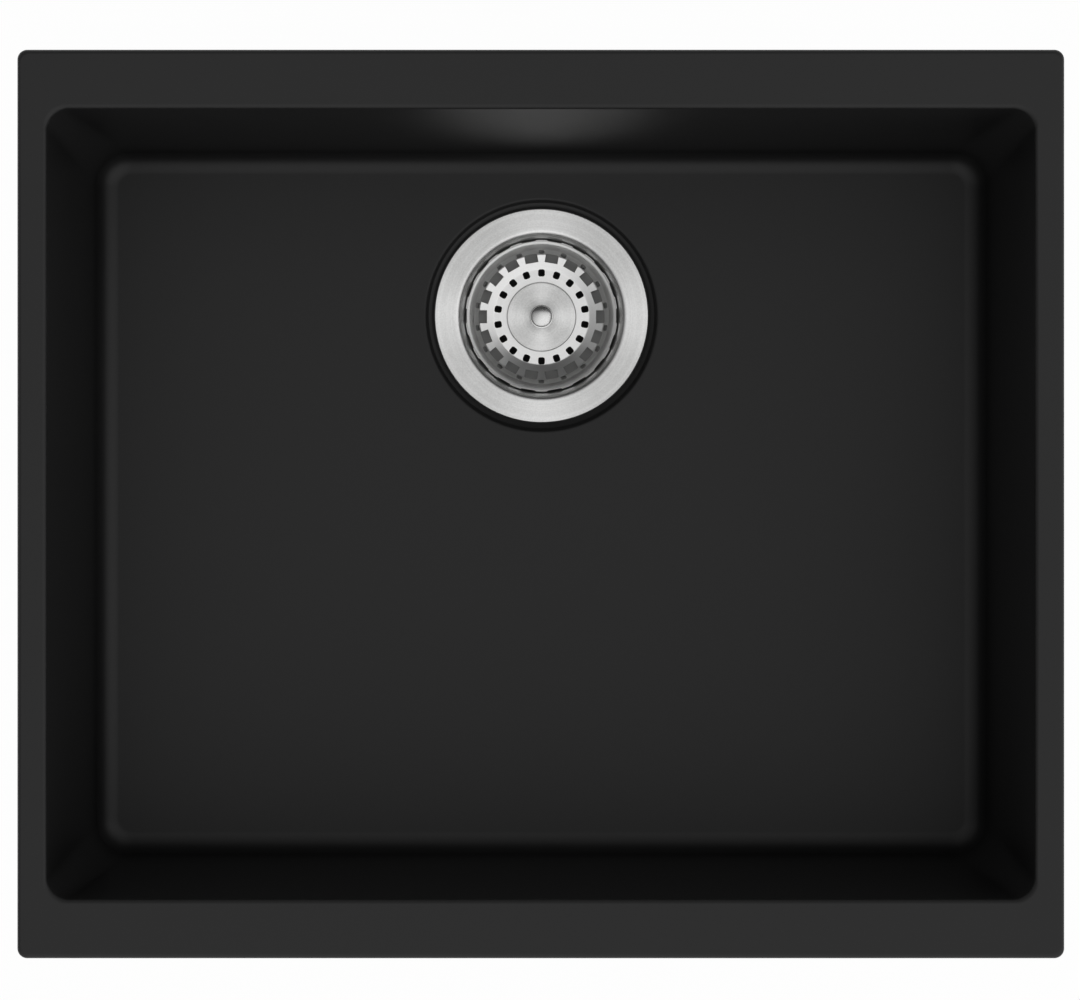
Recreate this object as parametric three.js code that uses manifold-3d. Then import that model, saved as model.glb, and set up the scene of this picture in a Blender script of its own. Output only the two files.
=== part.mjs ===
// Undermount kitchen sink in black stone composite: a one-piece bowl with a flat rim, a basket
// strainer waste in its floor, and swinging clips under its rim.
// Millimetres, +Z up, +Y towards the back wall, +X to the right.
// The origin is the centre of the bowl's mouth, in the plane of the rim's top face, which seals
// against the underside of a worktop.

import * as THREE from "three";
import { mergeVertices } from "three/addons/utils/BufferGeometryUtils.js";
import Module from "manifold-3d";

const wasm = await Module();
wasm.setup();

// ---------------------------------------------------------------- driving dimensions

// Bowl moulding
const RIM_LENGTH = 530; // left to right
const RIM_DEPTH = 460; // front to back
const RIM_SIDE_WIDTH = 15; // rim edge to the mouth, left and right
const RIM_END_WIDTH = 30; // rim edge to the mouth, front and back
const RIM_THICKNESS = 10;
const RIM_CORNER_RADIUS = 5;
const RIM_ARRIS = 2; // rounding of the rim's outer edges
const MOUTH_CORNER_RADIUS = 11;
const MOUTH_ARRIS = 2.6;
const BOWL_DEPTH = 190; // rim top to the floor at the drain
const WALL_THICKNESS = 8;
const WALL_DRAFT = THREE.MathUtils.degToRad(4.2);
const WALL_FOOT_CORNER_RADIUS = 18; // upright corners widen from the mouth to this at the foot
const FLOOR_THICKNESS = 12;
const FLOOR_FILLET = 11;
const FLOOR_SLOPE = 0.008; // fall towards the drain
const OUTER_FLOOR_FILLET = 20;
const UNDER_RIM_FILLET = 5;

// Drain seat in the floor
const DRAIN_FROM_BACK = 100; // mouth's back edge to the drain's centre
const DRAIN_HOLE_MARGIN = 1; // round the strainer's threaded sleeve
const RECESS_MARGIN = 0.8; // round the strainer's flange, at the recess's foot
const RECESS_DEPTH = 4;
const RECESS_LEDGE_DEPTH = 2; // a sloping ledge round the flange, below the floor
const RECESS_LEDGE_WIDTH = 2.4;
const RECESS_LEDGE_RISE = 0.6;
const RECESS_FLARE = 1.8; // the side above the ledge leans out by this

// Strainer body, a pressed steel cup
const CUP_MOUTH_RADIUS = 42.8;
const CUP_LEDGE_WIDTH = 1.6; // step just below the cup's mouth
const CUP_LEDGE_DEPTH = 7;
const CUP_LEDGE_SLOPE = 4; // height over which the step draws in
const CUP_TAPER = 0.3;
const CUP_DEPTH = 42; // flange top to the stopper's seat
const CUP_BOTTOM_WIDTH = 10.2; // curved zone round the flat seat
const CUP_BOTTOM_RISE = 7;
const CUP_WALL = 2;
const SLEEVE_WALL = 1.2; // threaded outside
const FLANGE_ROLL = 3; // radius that turns the flange down into the cup
const FLANGE_WIDTH = 11.2;
const FLANGE_THICKNESS = 1.8;
const FLANGE_BEVEL = 0.6;
const OUTLET_BORE_RADIUS = 19.8;
const OUTLET_WALL = 2.6; // threaded outside
const OUTLET_LENGTH = 28; // below the stopper's seat
const SPIDER_DROP = 6; // seat to the top of the crossbar's hub
const SPIDER_HUB_WALL = 2.7;
const SPIDER_HUB_HEIGHT = 6;
const SPIDER_ARM_WIDTH = 3;
const SPIDER_ARM_HEIGHT = 4;

// Seals and nuts round the strainer body; each width is measured from the sleeve outwards
const FLANGE_GASKET_THICKNESS = 1.5;
const FLANGE_GASKET_INSET = 3.5;
const SINK_GASKET_THICKNESS = 3;
const SINK_GASKET_WIDTH = 12;
const FRICTION_WASHER_THICKNESS = 1;
const FRICTION_WASHER_WIDTH = 11;
const LOCK_NUT_HEIGHT = 12;
const LOCK_NUT_WIDTH = 7;
const LOCK_NUT_COLLAR_HEIGHT = 3;
const LOCK_NUT_LUGS = 6;
const LOCK_NUT_LUG_REACH = 5;
const LOCK_NUT_LUG_WIDTH = 11;
const TAIL_WASHER_THICKNESS = 2.5;
const TAILPIECE_RADIUS = 19.05;
const TAILPIECE_WALL = 1.2;
const TAILPIECE_FLANGE_THICKNESS = 1.5;
const TAILPIECE_LENGTH = 60;
const COUPLING_NUT_WALL = 5.3;
const COUPLING_NUT_HEIGHT = 20;
const COUPLING_NUT_LIP = 3;
const COUPLING_NUT_RIBS = 8;
const COUPLING_NUT_RIB_REACH = 2.5;
const COUPLING_NUT_RIB_WIDTH = 6;
const RIB_ROOT = 2; // how far a lug or rib is sunk into its nut

// Basket, pressed from thin sheet
const SHEET = 0.9;
const BASKET_CLEARANCE = 0.4; // basket's rim to the cup
const BASKET_RIM_WIDTH = 2.7;
const BASKET_DEPTH = 24; // rim top to the basket's inner floor
const BASKET_LEAN = 14.8; // rim's edge to the floor's edge, seen from above
const SHOULDER_WIDTH = 7.4; // floor's edge to the wall's foot
const SHOULDER_RISE = 3.2;
const PERFORATIONS = 18; // in each row
const SLOT_EDGE = 0.4; // slots end this far inside the floor's edge
const SLOT_LENGTH = 3.9;
const SLOT_WIDTH = 3.6;
const WINDOW_EDGE = 3; // windows start this far outside the floor's edge
const WINDOW_WIDTH = 6.6;
const WINDOW_TOP = 1.2; // above the wall's foot
const HOLE_WIDTH = 3.2;
const HOLE_HEIGHT = 3.8;
const HOLE_FOOT = 0.8; // small holes start this far above the wall's foot
const NOTCH_WIDTH = 8; // notches in the rim's edge, above the windows
const NOTCH_DEPTH = 0.7;

// Plug: the knob's stem carries the disc, the basket and the rubber stopper
const DISC_EDGE = 3; // disc's edge to the slots
const DISC_THICKNESS = 1.6;
const KNOB_RADIUS = 5.8;
const KNOB_HEIGHT = 14;
const KNOB_NECK = 0.8; // neck's radius over the stem's
const STEM_RADIUS = 3;
const STEM_TIP_STEP = 0.9; // groove depth for the catch
const SPACER_WALL = 2.7;
const SPACER_HEIGHT = 5.8;
const STOPPER_PLATE_RADIUS = 20;
const STOPPER_PLATE_THICKNESS = 1;
const STOPPER_EDGE = 4; // stopper's edge to the seat's outer edge
const STOPPER_THICKNESS = 4;
const STEM_NUT_WALL = 1.7;
const STEM_NUT_HEIGHT = 4;
const CATCH_HEIGHT = 5;
const CATCH_CLEARANCE = 0.1; // compressed catch to the crossbar's hole
const STEM_HEAD_HEIGHT = 1.5;

// Clips under the front and back rims
const CLIP_SPACING = 170; // between neighbouring clips
const CLIP_EDGE_DISTANCE = 10.5; // rim edge to a clip's pivot
const BOSS_WALL = 3.5;
const BOSS_HEIGHT = 6;
const INSERT_WALL = 1.1;
const INSERT_LENGTH = 10;
const INSERT_POCKET_SPARE = 1; // pocket's depth past the insert
const SCREW_RADIUS = 2.9;
const SCREW_LENGTH = 12; // under the head
const SCREW_HEAD_RADIUS = 5.5;
const SCREW_HEAD_HEIGHT = 3.6;
const WASHER_EDGE = 1.3; // washer's edge past the screw's head
const WASHER_THICKNESS = 1.2;
const CLIP_WIDTH = 14;
const CLIP_THICKNESS = 2.5;
const CLIP_STEP = 4; // rise of the outer pad over the pivot pad
const CLIP_STEP_START = 9; // from the pivot
const CLIP_STEP_RUN = 5;
const CLIP_SLOT_DISTANCE = 5; // end of the step to the slot
const CLIP_SLOT_LENGTH = 15;
const CLIP_SLOT_WIDTH = 6.5;
const CLIP_END_MARGIN = 6; // slot to the clip's end

// Clearances
const SEAT_GAP = 0.2; // between a piece and what it is clamped against
const FIT_GAP = 0.3; // round a thread, stem or pivot
const CUT_PAST = 1; // how far a cutting solid runs past the face it opens

// Facets of round pieces
const ROUND = 36;
const ROUND_STEM = 16;
const ROUND_FASTENER = 12;
const BASKET_ROUND = 3 * PERFORATIONS;
const CORNER_STEPS = 5;
const FLOOR_SIDE_STEPS = 4;
const ARC_STEPS = 4;
const ARRIS_STEPS = 3;

// ---------------------------------------------------------------- sizes worked out from them

const MOUTH_LENGTH = RIM_LENGTH - 2 * RIM_SIDE_WIDTH;
const MOUTH_DEPTH = RIM_DEPTH - 2 * RIM_END_WIDTH;
const DRAIN_Y = MOUTH_DEPTH / 2 - DRAIN_FROM_BACK;

const CUP_RADIUS = CUP_MOUTH_RADIUS - CUP_LEDGE_WIDTH;
const CUP_BOTTOM_RADIUS = CUP_RADIUS - CUP_BOTTOM_WIDTH;
const SLEEVE_RADIUS = CUP_MOUTH_RADIUS + SLEEVE_WALL;
const FLANGE_RADIUS = CUP_MOUTH_RADIUS + FLANGE_ROLL + FLANGE_WIDTH;
const DRAIN_HOLE_RADIUS = SLEEVE_RADIUS + DRAIN_HOLE_MARGIN;
const RECESS_RADIUS = FLANGE_RADIUS + RECESS_MARGIN;
const RECESS_LEDGE_RADIUS = RECESS_RADIUS + RECESS_LEDGE_WIDTH;
const RECESS_MOUTH_RADIUS = RECESS_LEDGE_RADIUS + RECESS_FLARE;
const OUTLET_RADIUS = OUTLET_BORE_RADIUS + OUTLET_WALL;
const TAILPIECE_BORE_RADIUS = TAILPIECE_RADIUS - TAILPIECE_WALL;
const SLEEVE_FIT_RADIUS = SLEEVE_RADIUS + FIT_GAP;

const BASKET_RIM_RADIUS = CUP_RADIUS - BASKET_CLEARANCE;
const BASKET_FLOOR_RADIUS = BASKET_RIM_RADIUS - BASKET_LEAN;
const SLOT_OUTER_RADIUS = BASKET_FLOOR_RADIUS - SLOT_EDGE;
const SLOT_INNER_RADIUS = SLOT_OUTER_RADIUS - SLOT_LENGTH;
const WINDOW_INNER_RADIUS = BASKET_FLOOR_RADIUS + WINDOW_EDGE;
const DISC_RADIUS = SLOT_INNER_RADIUS - DISC_EDGE;
const STEM_FIT_RADIUS = STEM_RADIUS + FIT_GAP;
const STEM_TIP_RADIUS = STEM_RADIUS - STEM_TIP_STEP;
const STOPPER_RADIUS = CUP_BOTTOM_RADIUS - STOPPER_EDGE;

const SCREW_FIT_RADIUS = SCREW_RADIUS + FIT_GAP;
const INSERT_RADIUS = SCREW_FIT_RADIUS + INSERT_WALL;
const INSERT_POCKET_RADIUS = INSERT_RADIUS + SEAT_GAP;
const BOSS_RADIUS = INSERT_POCKET_RADIUS + BOSS_WALL;
const CLIP_STEP_END = CLIP_STEP_START + CLIP_STEP_RUN;
const CLIP_SLOT_START = CLIP_STEP_END + CLIP_SLOT_DISTANCE;
const CLIP_SLOT_END = CLIP_SLOT_START + CLIP_SLOT_LENGTH;
const CLIP_REACH = CLIP_SLOT_END + CLIP_END_MARGIN;

// Heights, from the floor of the drain's recess down and back up through the plug
const RECESS_FLOOR_Z = -BOWL_DEPTH - RECESS_DEPTH;
const UNDERSIDE_Z = -BOWL_DEPTH - FLOOR_THICKNESS;
const FLANGE_GASKET_Z = RECESS_FLOOR_Z + SEAT_GAP;
const FLANGE_UNDERSIDE_Z = FLANGE_GASKET_Z + FLANGE_GASKET_THICKNESS + SEAT_GAP;
const FLANGE_TOP_Z = FLANGE_UNDERSIDE_Z + FLANGE_THICKNESS;
const SINK_GASKET_Z = UNDERSIDE_Z - SEAT_GAP - SINK_GASKET_THICKNESS;
const FRICTION_WASHER_Z = SINK_GASKET_Z - SEAT_GAP - FRICTION_WASHER_THICKNESS;
const LOCK_NUT_Z = FRICTION_WASHER_Z - SEAT_GAP - LOCK_NUT_HEIGHT;
const SEAT_Z = FLANGE_TOP_Z - CUP_DEPTH;
const OUTLET_END_Z = SEAT_Z - OUTLET_LENGTH;
const TAIL_WASHER_Z = OUTLET_END_Z - SEAT_GAP - TAIL_WASHER_THICKNESS;
const TAILPIECE_SHOULDER_Z = TAIL_WASHER_Z - SEAT_GAP - TAILPIECE_FLANGE_THICKNESS;
const COUPLING_NUT_LIP_Z = TAILPIECE_SHOULDER_Z - SEAT_GAP;
const SPIDER_TOP_Z = SEAT_Z - SPIDER_DROP;

const STOPPER_Z = SEAT_Z + SEAT_GAP;
const STOPPER_PLATE_Z = STOPPER_Z + STOPPER_THICKNESS + SEAT_GAP;
const SPACER_Z = STOPPER_PLATE_Z + STOPPER_PLATE_THICKNESS + SEAT_GAP;
const BASKET_UNDERSIDE_Z = SPACER_Z + SPACER_HEIGHT + SEAT_GAP;
const BASKET_FLOOR_Z = BASKET_UNDERSIDE_Z + SHEET;
const BASKET_RIM_Z = BASKET_FLOOR_Z + BASKET_DEPTH;
const DISC_Z = BASKET_FLOOR_Z + SEAT_GAP;
const KNOB_Z = DISC_Z + DISC_THICKNESS + SEAT_GAP;
const STEM_NUT_Z = STOPPER_Z - SEAT_GAP - STEM_NUT_HEIGHT;
const CATCH_TOP_Z = SPIDER_TOP_Z - SPIDER_HUB_HEIGHT - SEAT_GAP;
const CATCH_Z = CATCH_TOP_Z - CATCH_HEIGHT;

const BOSS_FACE_Z = -RIM_THICKNESS - BOSS_HEIGHT;
const CLIP_TOP_Z = BOSS_FACE_Z - SEAT_GAP;
const WASHER_Z = CLIP_TOP_Z - CLIP_THICKNESS - SEAT_GAP - WASHER_THICKNESS;
const SCREW_SHOULDER_Z = WASHER_Z - SEAT_GAP;
const PIVOT_Y = RIM_DEPTH / 2 - CLIP_EDGE_DISTANCE;

// ---------------------------------------------------------------- solids and geometries

function solidOf(geometry) {
  const bare = geometry.clone();
  bare.deleteAttribute("normal");
  bare.deleteAttribute("uv");
  const merged = mergeVertices(bare, 1e-4);
  return new wasm.Manifold(
    new wasm.Mesh({
      numProp: 3,
      vertProperties: new Float32Array(merged.attributes.position.array),
      triVerts: new Uint32Array(merged.index.array),
    }),
  );
}

function geometryOf(solid) {
  const mesh = solid.getMesh();
  const geometry = new THREE.BufferGeometry();
  geometry.setAttribute("position", new THREE.BufferAttribute(mesh.vertProperties, mesh.numProp));
  geometry.setIndex(new THREE.BufferAttribute(mesh.triVerts, 1));
  geometry.computeVertexNormals();
  return geometry;
}

// A solid of revolution about Z from [radius, height] points. The outline closes on itself, or
// starts and ends on the axis.
function turned(outline, segments = ROUND) {
  const points = outline.map(([radius, height]) => new THREE.Vector2(radius, height));
  if (points[0].x > 0) points.push(points[0].clone());
  if (THREE.ShapeUtils.area(points) < 0) points.reverse();
  return new THREE.LatheGeometry(points, segments).rotateX(Math.PI / 2);
}

// A plain ring or disc with square edges.
function ring(innerRadius, outerRadius, bottom, top, segments = ROUND) {
  const outline = [
    [innerRadius, bottom],
    [outerRadius, bottom],
    [outerRadius, top],
    [innerRadius, top],
  ];
  return turned(outline, segments);
}

// Points of a quarter-circle or less, from one angle to another, both included.
function arc(centreX, centreY, radius, from, to, steps = ARC_STEPS) {
  return Array.from({ length: steps + 1 }, (_, i) => {
    const angle = from + ((to - from) * i) / steps;
    return [centreX + radius * Math.cos(angle), centreY + radius * Math.sin(angle)];
  });
}

function box(width, depth, height, x, y, z) {
  return solidOf(new THREE.BoxGeometry(width, depth, height).translate(x, y, z));
}

// Copies of a solid, spaced evenly round the Z axis.
function roundZ(solid, count, firstDegrees = 0) {
  const copies = Array.from({ length: count }, (_, i) =>
    solid.rotate([0, 0, firstDegrees + (360 * i) / count]),
  );
  return wasm.Manifold.union(copies);
}

// One level of the bowl: a rounded rectangle, anticlockwise, its sides cut into equal steps.
function roundedRectangle({ halfLength, halfDepth, radius, z }, sideSteps = 1) {
  const corners = [
    [1, 1],
    [-1, 1],
    [-1, -1],
    [1, -1],
  ];
  const arcs = corners.map(([sideX, sideY], corner) => {
    const from = (corner * Math.PI) / 2;
    const centreX = sideX * (halfLength - radius);
    const centreY = sideY * (halfDepth - radius);
    return arc(centreX, centreY, radius, from, from + Math.PI / 2, CORNER_STEPS);
  });
  const points = arcs.flatMap((points, corner) => {
    const [endX, endY] = points.at(-1);
    const [nextX, nextY] = arcs[(corner + 1) % corners.length][0];
    const along = Array.from({ length: sideSteps - 1 }, (_, i) => {
      const share = (i + 1) / sideSteps;
      return [endX + (nextX - endX) * share, endY + (nextY - endY) * share];
    });
    return [...points, ...along];
  });
  return points.map(([x, y]) => new THREE.Vector3(x, y, z));
}

// A closed solid through rings of points, from the highest ring to the lowest.
function loft(rings) {
  const count = rings[0].length;
  const faces = [];
  for (let level = 0; level < rings.length - 1; level++) {
    for (let i = 0; i < count; i++) {
      const here = level * count + i;
      const next = level * count + ((i + 1) % count);
      faces.push(here, here + count, next + count, here, next + count, next);
    }
  }
  const last = (rings.length - 1) * count;
  for (let i = 1; i < count - 1; i++) {
    faces.push(0, i, i + 1, last, last + i + 1, last + i);
  }
  return new THREE.BufferGeometry().setFromPoints(rings.flat()).setIndex(faces);
}

// ---------------------------------------------------------------- materials

function material(color, roughness, metalness) {
  return new THREE.MeshStandardMaterial({ color, roughness, metalness });
}

const STONE = material(0x2c2c2c, 0.55, 0);
const BRUSHED_STEEL = material(0xc4c4c2, 0.32, 1);
const POLISHED_STEEL = material(0xd6d6d4, 0.16, 1);
const ZINC_STEEL = material(0xa9adb0, 0.4, 1);
const BRASS = material(0xb5924c, 0.35, 1);
const BLACK_RUBBER = material(0x141414, 0.8, 0);
const FOAM_RUBBER = material(0x0d0d0d, 0.9, 0);
const FIBRE = material(0x8a6f4d, 0.9, 0);
const WHITE_PLASTIC = material(0xe4e3de, 0.5, 0);
const GREY_METAL = material(0x8e9092, 0.45, 1);

const sink = new THREE.Group();

function addPiece(name, geometry, look, place = sink) {
  const mesh = new THREE.Mesh(geometry, look);
  mesh.name = name;
  place.add(mesh);
}

// ---------------------------------------------------------------- bowl

// The bowl's inner wall at a height: half sizes shrink with the draft and the corners widen.
function innerWall(z, inset = 0) {
  const share = Math.min(1, -z / (BOWL_DEPTH - FLOOR_FILLET));
  const drawnIn = -z * Math.tan(WALL_DRAFT) + inset;
  const widened = WALL_FOOT_CORNER_RADIUS - MOUTH_CORNER_RADIUS;
  return {
    halfLength: MOUTH_LENGTH / 2 - drawnIn,
    halfDepth: MOUTH_DEPTH / 2 - drawnIn,
    radius: MOUTH_CORNER_RADIUS + widened * share - inset,
    z,
  };
}

function outerWall(z, inset = 0) {
  return innerWall(z, inset - WALL_THICKNESS);
}

function rimEdge(z, inset) {
  return {
    halfLength: RIM_LENGTH / 2 - inset,
    halfDepth: RIM_DEPTH / 2 - inset,
    radius: RIM_CORNER_RADIUS - inset,
    z,
  };
}

// A rounded edge of the rim's top face, from the face down: how far each step lies in from the
// side, and below the face.
function arris(radius) {
  return arc(0, 0, radius, Math.PI / 2, 0, ARRIS_STEPS).map(([out, up]) => ({
    inset: radius - out,
    drop: radius - up,
  }));
}

function bowlOuterSolid() {
  const levels = [
    ...arris(RIM_ARRIS).map(({ inset, drop }) => rimEdge(-drop, inset)),
    rimEdge(-RIM_THICKNESS + RIM_ARRIS, 0),
    rimEdge(-RIM_THICKNESS, RIM_ARRIS),
  ];
  for (const [out, up] of arc(0, 0, UNDER_RIM_FILLET, Math.PI / 2, 0)) {
    const wallAt = outerWall(-RIM_THICKNESS - UNDER_RIM_FILLET + up, out - UNDER_RIM_FILLET);
    levels.push(wallAt);
  }
  const filletTop = UNDERSIDE_Z + OUTER_FLOOR_FILLET;
  for (const [out, up] of arc(0, 0, OUTER_FLOOR_FILLET, 0, -Math.PI / 2)) {
    const foot = outerWall(filletTop, OUTER_FLOOR_FILLET - out);
    levels.push({ ...foot, z: filletTop + up });
  }
  return solidOf(loft(levels.map((level) => roundedRectangle(level))));
}

// The floor is a very shallow cone about the drain, so its edge and fillet follow that fall.
function withFall(point) {
  point.z += FLOOR_SLOPE * Math.hypot(point.x, point.y - DRAIN_Y);
  return point;
}

function bowlCavitySolid() {
  const upper = [
    { ...innerWall(0, -MOUTH_ARRIS), z: CUT_PAST },
    ...arris(MOUTH_ARRIS).map(({ inset, drop }) => innerWall(-drop, -inset)),
  ];
  const filletTop = -BOWL_DEPTH + FLOOR_FILLET;
  const fillet = arc(0, 0, FLOOR_FILLET, 0, -Math.PI / 2).map(([out, up]) => ({
    ...innerWall(filletTop, FLOOR_FILLET - out),
    z: filletTop + up,
  }));
  const ringAt = (level) => roundedRectangle(level, FLOOR_SIDE_STEPS);
  const rings = upper.map(ringAt);
  const footRings = fillet.map((level) => ringAt(level).map(withFall));
  const centre = new THREE.Vector3(0, DRAIN_Y, -BOWL_DEPTH);
  const drainRing = footRings.at(-1).map((point) => {
    const outward = new THREE.Vector3(point.x, point.y - DRAIN_Y, 0);
    return withFall(outward.setLength(DRAIN_HOLE_RADIUS).add(centre));
  });
  return solidOf(loft([...rings, ...footRings, drainRing]));
}

function drainCutSolid() {
  const edgeZ = -BOWL_DEPTH + FLOOR_SLOPE * RECESS_MOUTH_RADIUS;
  const ledgeZ = -BOWL_DEPTH - RECESS_LEDGE_DEPTH;
  const outline = [
    [0, UNDERSIDE_Z - CUT_PAST],
    [DRAIN_HOLE_RADIUS, UNDERSIDE_Z - CUT_PAST],
    [DRAIN_HOLE_RADIUS, RECESS_FLOOR_Z],
    [RECESS_RADIUS, RECESS_FLOOR_Z],
    [RECESS_RADIUS, ledgeZ],
    [RECESS_LEDGE_RADIUS, ledgeZ + RECESS_LEDGE_RISE],
    [RECESS_MOUTH_RADIUS, edgeZ],
    [RECESS_MOUTH_RADIUS, edgeZ + CUT_PAST],
    [0, edgeZ + CUT_PAST],
  ];
  return solidOf(turned(outline)).translate([0, DRAIN_Y, 0]);
}

// Clip places: the long end of a parked clip points along X, towards `parked`.
const CLIPS = [
  { name: "back_left", x: -CLIP_SPACING, side: 1, parked: 1 },
  { name: "back_centre", x: 0, side: 1, parked: 1 },
  { name: "back_right", x: CLIP_SPACING, side: 1, parked: -1 },
  { name: "front_left", x: -CLIP_SPACING, side: -1, parked: 1 },
  { name: "front_centre", x: 0, side: -1, parked: 1 },
  { name: "front_right", x: CLIP_SPACING, side: -1, parked: -1 },
];

function sinkBowl() {
  const bossTop = -RIM_THICKNESS / 2;
  const boss = solidOf(ring(0, BOSS_RADIUS, BOSS_FACE_Z, bossTop, ROUND_STEM));
  const mouthZ = BOSS_FACE_Z - CUT_PAST;
  const endZ = BOSS_FACE_Z + INSERT_LENGTH + INSERT_POCKET_SPARE;
  const pocket = solidOf(ring(0, INSERT_POCKET_RADIUS, mouthZ, endZ, ROUND_FASTENER));
  const places = CLIPS.map(({ x, side }) => [x, side * PIVOT_Y, 0]);
  const bosses = places.map((place) => boss.translate(place));
  const pockets = places.map((place) => pocket.translate(place));
  return wasm.Manifold.union([bowlOuterSolid(), ...bosses])
    .subtract(bowlCavitySolid())
    .subtract(drainCutSolid())
    .subtract(wasm.Manifold.union(pockets));
}

addPiece("sink_bowl", geometryOf(sinkBowl()), STONE);

// ---------------------------------------------------------------- strainer body

const strainer = new THREE.Group();
strainer.position.y = DRAIN_Y;
sink.add(strainer);

// A hole for the plug's stem through what lies between two heights.
function stemHole(bottom, top) {
  return solidOf(ring(0, STEM_FIT_RADIUS, bottom - CUT_PAST, top + CUT_PAST, ROUND_STEM));
}

function strainerBody() {
  const rollRadius = CUP_MOUTH_RADIUS + FLANGE_ROLL;
  const ledgeZ = FLANGE_TOP_Z - CUP_LEDGE_DEPTH;
  const cupFootZ = SEAT_Z + CUP_BOTTOM_RISE;
  const cupFootRadius = CUP_RADIUS - CUP_TAPER;
  const sleeveFootZ = cupFootZ - CUP_WALL / 2;
  const outline = [
    [FLANGE_RADIUS, FLANGE_UNDERSIDE_Z],
    [FLANGE_RADIUS, FLANGE_TOP_Z - FLANGE_BEVEL],
    [FLANGE_RADIUS - FLANGE_BEVEL, FLANGE_TOP_Z],
    ...arc(rollRadius, FLANGE_TOP_Z - FLANGE_ROLL, FLANGE_ROLL, Math.PI / 2, Math.PI, 3),
    [CUP_MOUTH_RADIUS, ledgeZ + CUP_LEDGE_SLOPE],
    [CUP_RADIUS, ledgeZ],
    [cupFootRadius, cupFootZ],
    [cupFootRadius - CUP_BOTTOM_RISE / 4, cupFootZ - CUP_BOTTOM_RISE / 2],
    [(cupFootRadius + CUP_BOTTOM_RADIUS) / 2, SEAT_Z + CUP_BOTTOM_RISE / 5],
    [CUP_BOTTOM_RADIUS, SEAT_Z],
    [OUTLET_BORE_RADIUS, SEAT_Z],
    [OUTLET_BORE_RADIUS, OUTLET_END_Z],
    [OUTLET_RADIUS, OUTLET_END_Z],
    [OUTLET_RADIUS, SEAT_Z - 2 * CUP_WALL],
    [OUTLET_RADIUS + CUP_WALL, SEAT_Z - CUP_WALL],
    [CUP_BOTTOM_RADIUS + 1, SEAT_Z - CUP_WALL],
    [cupFootRadius, SEAT_Z + CUP_WALL],
    [SLEEVE_RADIUS, sleeveFootZ],
    [SLEEVE_RADIUS, FLANGE_UNDERSIDE_Z - CUP_WALL],
    [SLEEVE_RADIUS + CUP_WALL / 3, FLANGE_UNDERSIDE_Z - CUP_WALL / 3],
    [SLEEVE_RADIUS + CUP_WALL, FLANGE_UNDERSIDE_Z],
  ];
  const armLength = OUTLET_BORE_RADIUS + OUTLET_RADIUS;
  const armZ = SPIDER_TOP_Z - SPIDER_HUB_HEIGHT / 2;
  const hubBottom = SPIDER_TOP_Z - SPIDER_HUB_HEIGHT;
  const hubRadius = STEM_FIT_RADIUS + SPIDER_HUB_WALL;
  return wasm.Manifold.union([
    solidOf(turned(outline)),
    box(armLength, SPIDER_ARM_WIDTH, SPIDER_ARM_HEIGHT, 0, 0, armZ),
    box(SPIDER_ARM_WIDTH, armLength, SPIDER_ARM_HEIGHT, 0, 0, armZ),
    solidOf(ring(0, hubRadius, hubBottom, SPIDER_TOP_Z, ROUND_STEM)),
  ]).subtract(stemHole(hubBottom, SPIDER_TOP_Z));
}

addPiece("strainer_body", geometryOf(strainerBody()), BRUSHED_STEEL, strainer);

// ---------------------------------------------------------------- seals and nuts

function flangeGasket() {
  const top = FLANGE_GASKET_Z + FLANGE_GASKET_THICKNESS;
  return ring(SLEEVE_RADIUS + FLANGE_GASKET_INSET, FLANGE_RADIUS, FLANGE_GASKET_Z, top);
}

function sinkGasket() {
  const top = SINK_GASKET_Z + SINK_GASKET_THICKNESS;
  return ring(SLEEVE_FIT_RADIUS, SLEEVE_RADIUS + SINK_GASKET_WIDTH, SINK_GASKET_Z, top);
}

function frictionWasher() {
  const top = FRICTION_WASHER_Z + FRICTION_WASHER_THICKNESS;
  return ring(SLEEVE_FIT_RADIUS, SLEEVE_RADIUS + FRICTION_WASHER_WIDTH, FRICTION_WASHER_Z, top);
}

// Lugs or grip ribs round a nut, from `radius` out by `reach` and between two heights.
function ribsRound({ count, width, radius, reach, bottom, top }) {
  const depth = reach + RIB_ROOT;
  const rib = box(depth, width, top - bottom, radius + reach - depth / 2, 0, (top + bottom) / 2);
  return roundZ(rib, count);
}

function lockNut() {
  const top = LOCK_NUT_Z + LOCK_NUT_HEIGHT;
  const nutRadius = SLEEVE_RADIUS + LOCK_NUT_WIDTH;
  const collarRadius = SLEEVE_RADIUS + FRICTION_WASHER_WIDTH;
  const collarZ = top - LOCK_NUT_COLLAR_HEIGHT;
  const body = turned([
    [SLEEVE_FIT_RADIUS, LOCK_NUT_Z],
    [nutRadius, LOCK_NUT_Z],
    [nutRadius, collarZ],
    [collarRadius, collarZ],
    [collarRadius, top],
    [SLEEVE_FIT_RADIUS, top],
  ]);
  const lugs = ribsRound({
    count: LOCK_NUT_LUGS,
    width: LOCK_NUT_LUG_WIDTH,
    radius: nutRadius,
    reach: LOCK_NUT_LUG_REACH,
    bottom: LOCK_NUT_Z,
    top: collarZ + LOCK_NUT_COLLAR_HEIGHT / 2,
  });
  return solidOf(body).add(lugs);
}

function tailWasher() {
  const top = TAIL_WASHER_Z + TAIL_WASHER_THICKNESS;
  return ring(TAILPIECE_BORE_RADIUS, OUTLET_RADIUS, TAIL_WASHER_Z, top);
}

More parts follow.
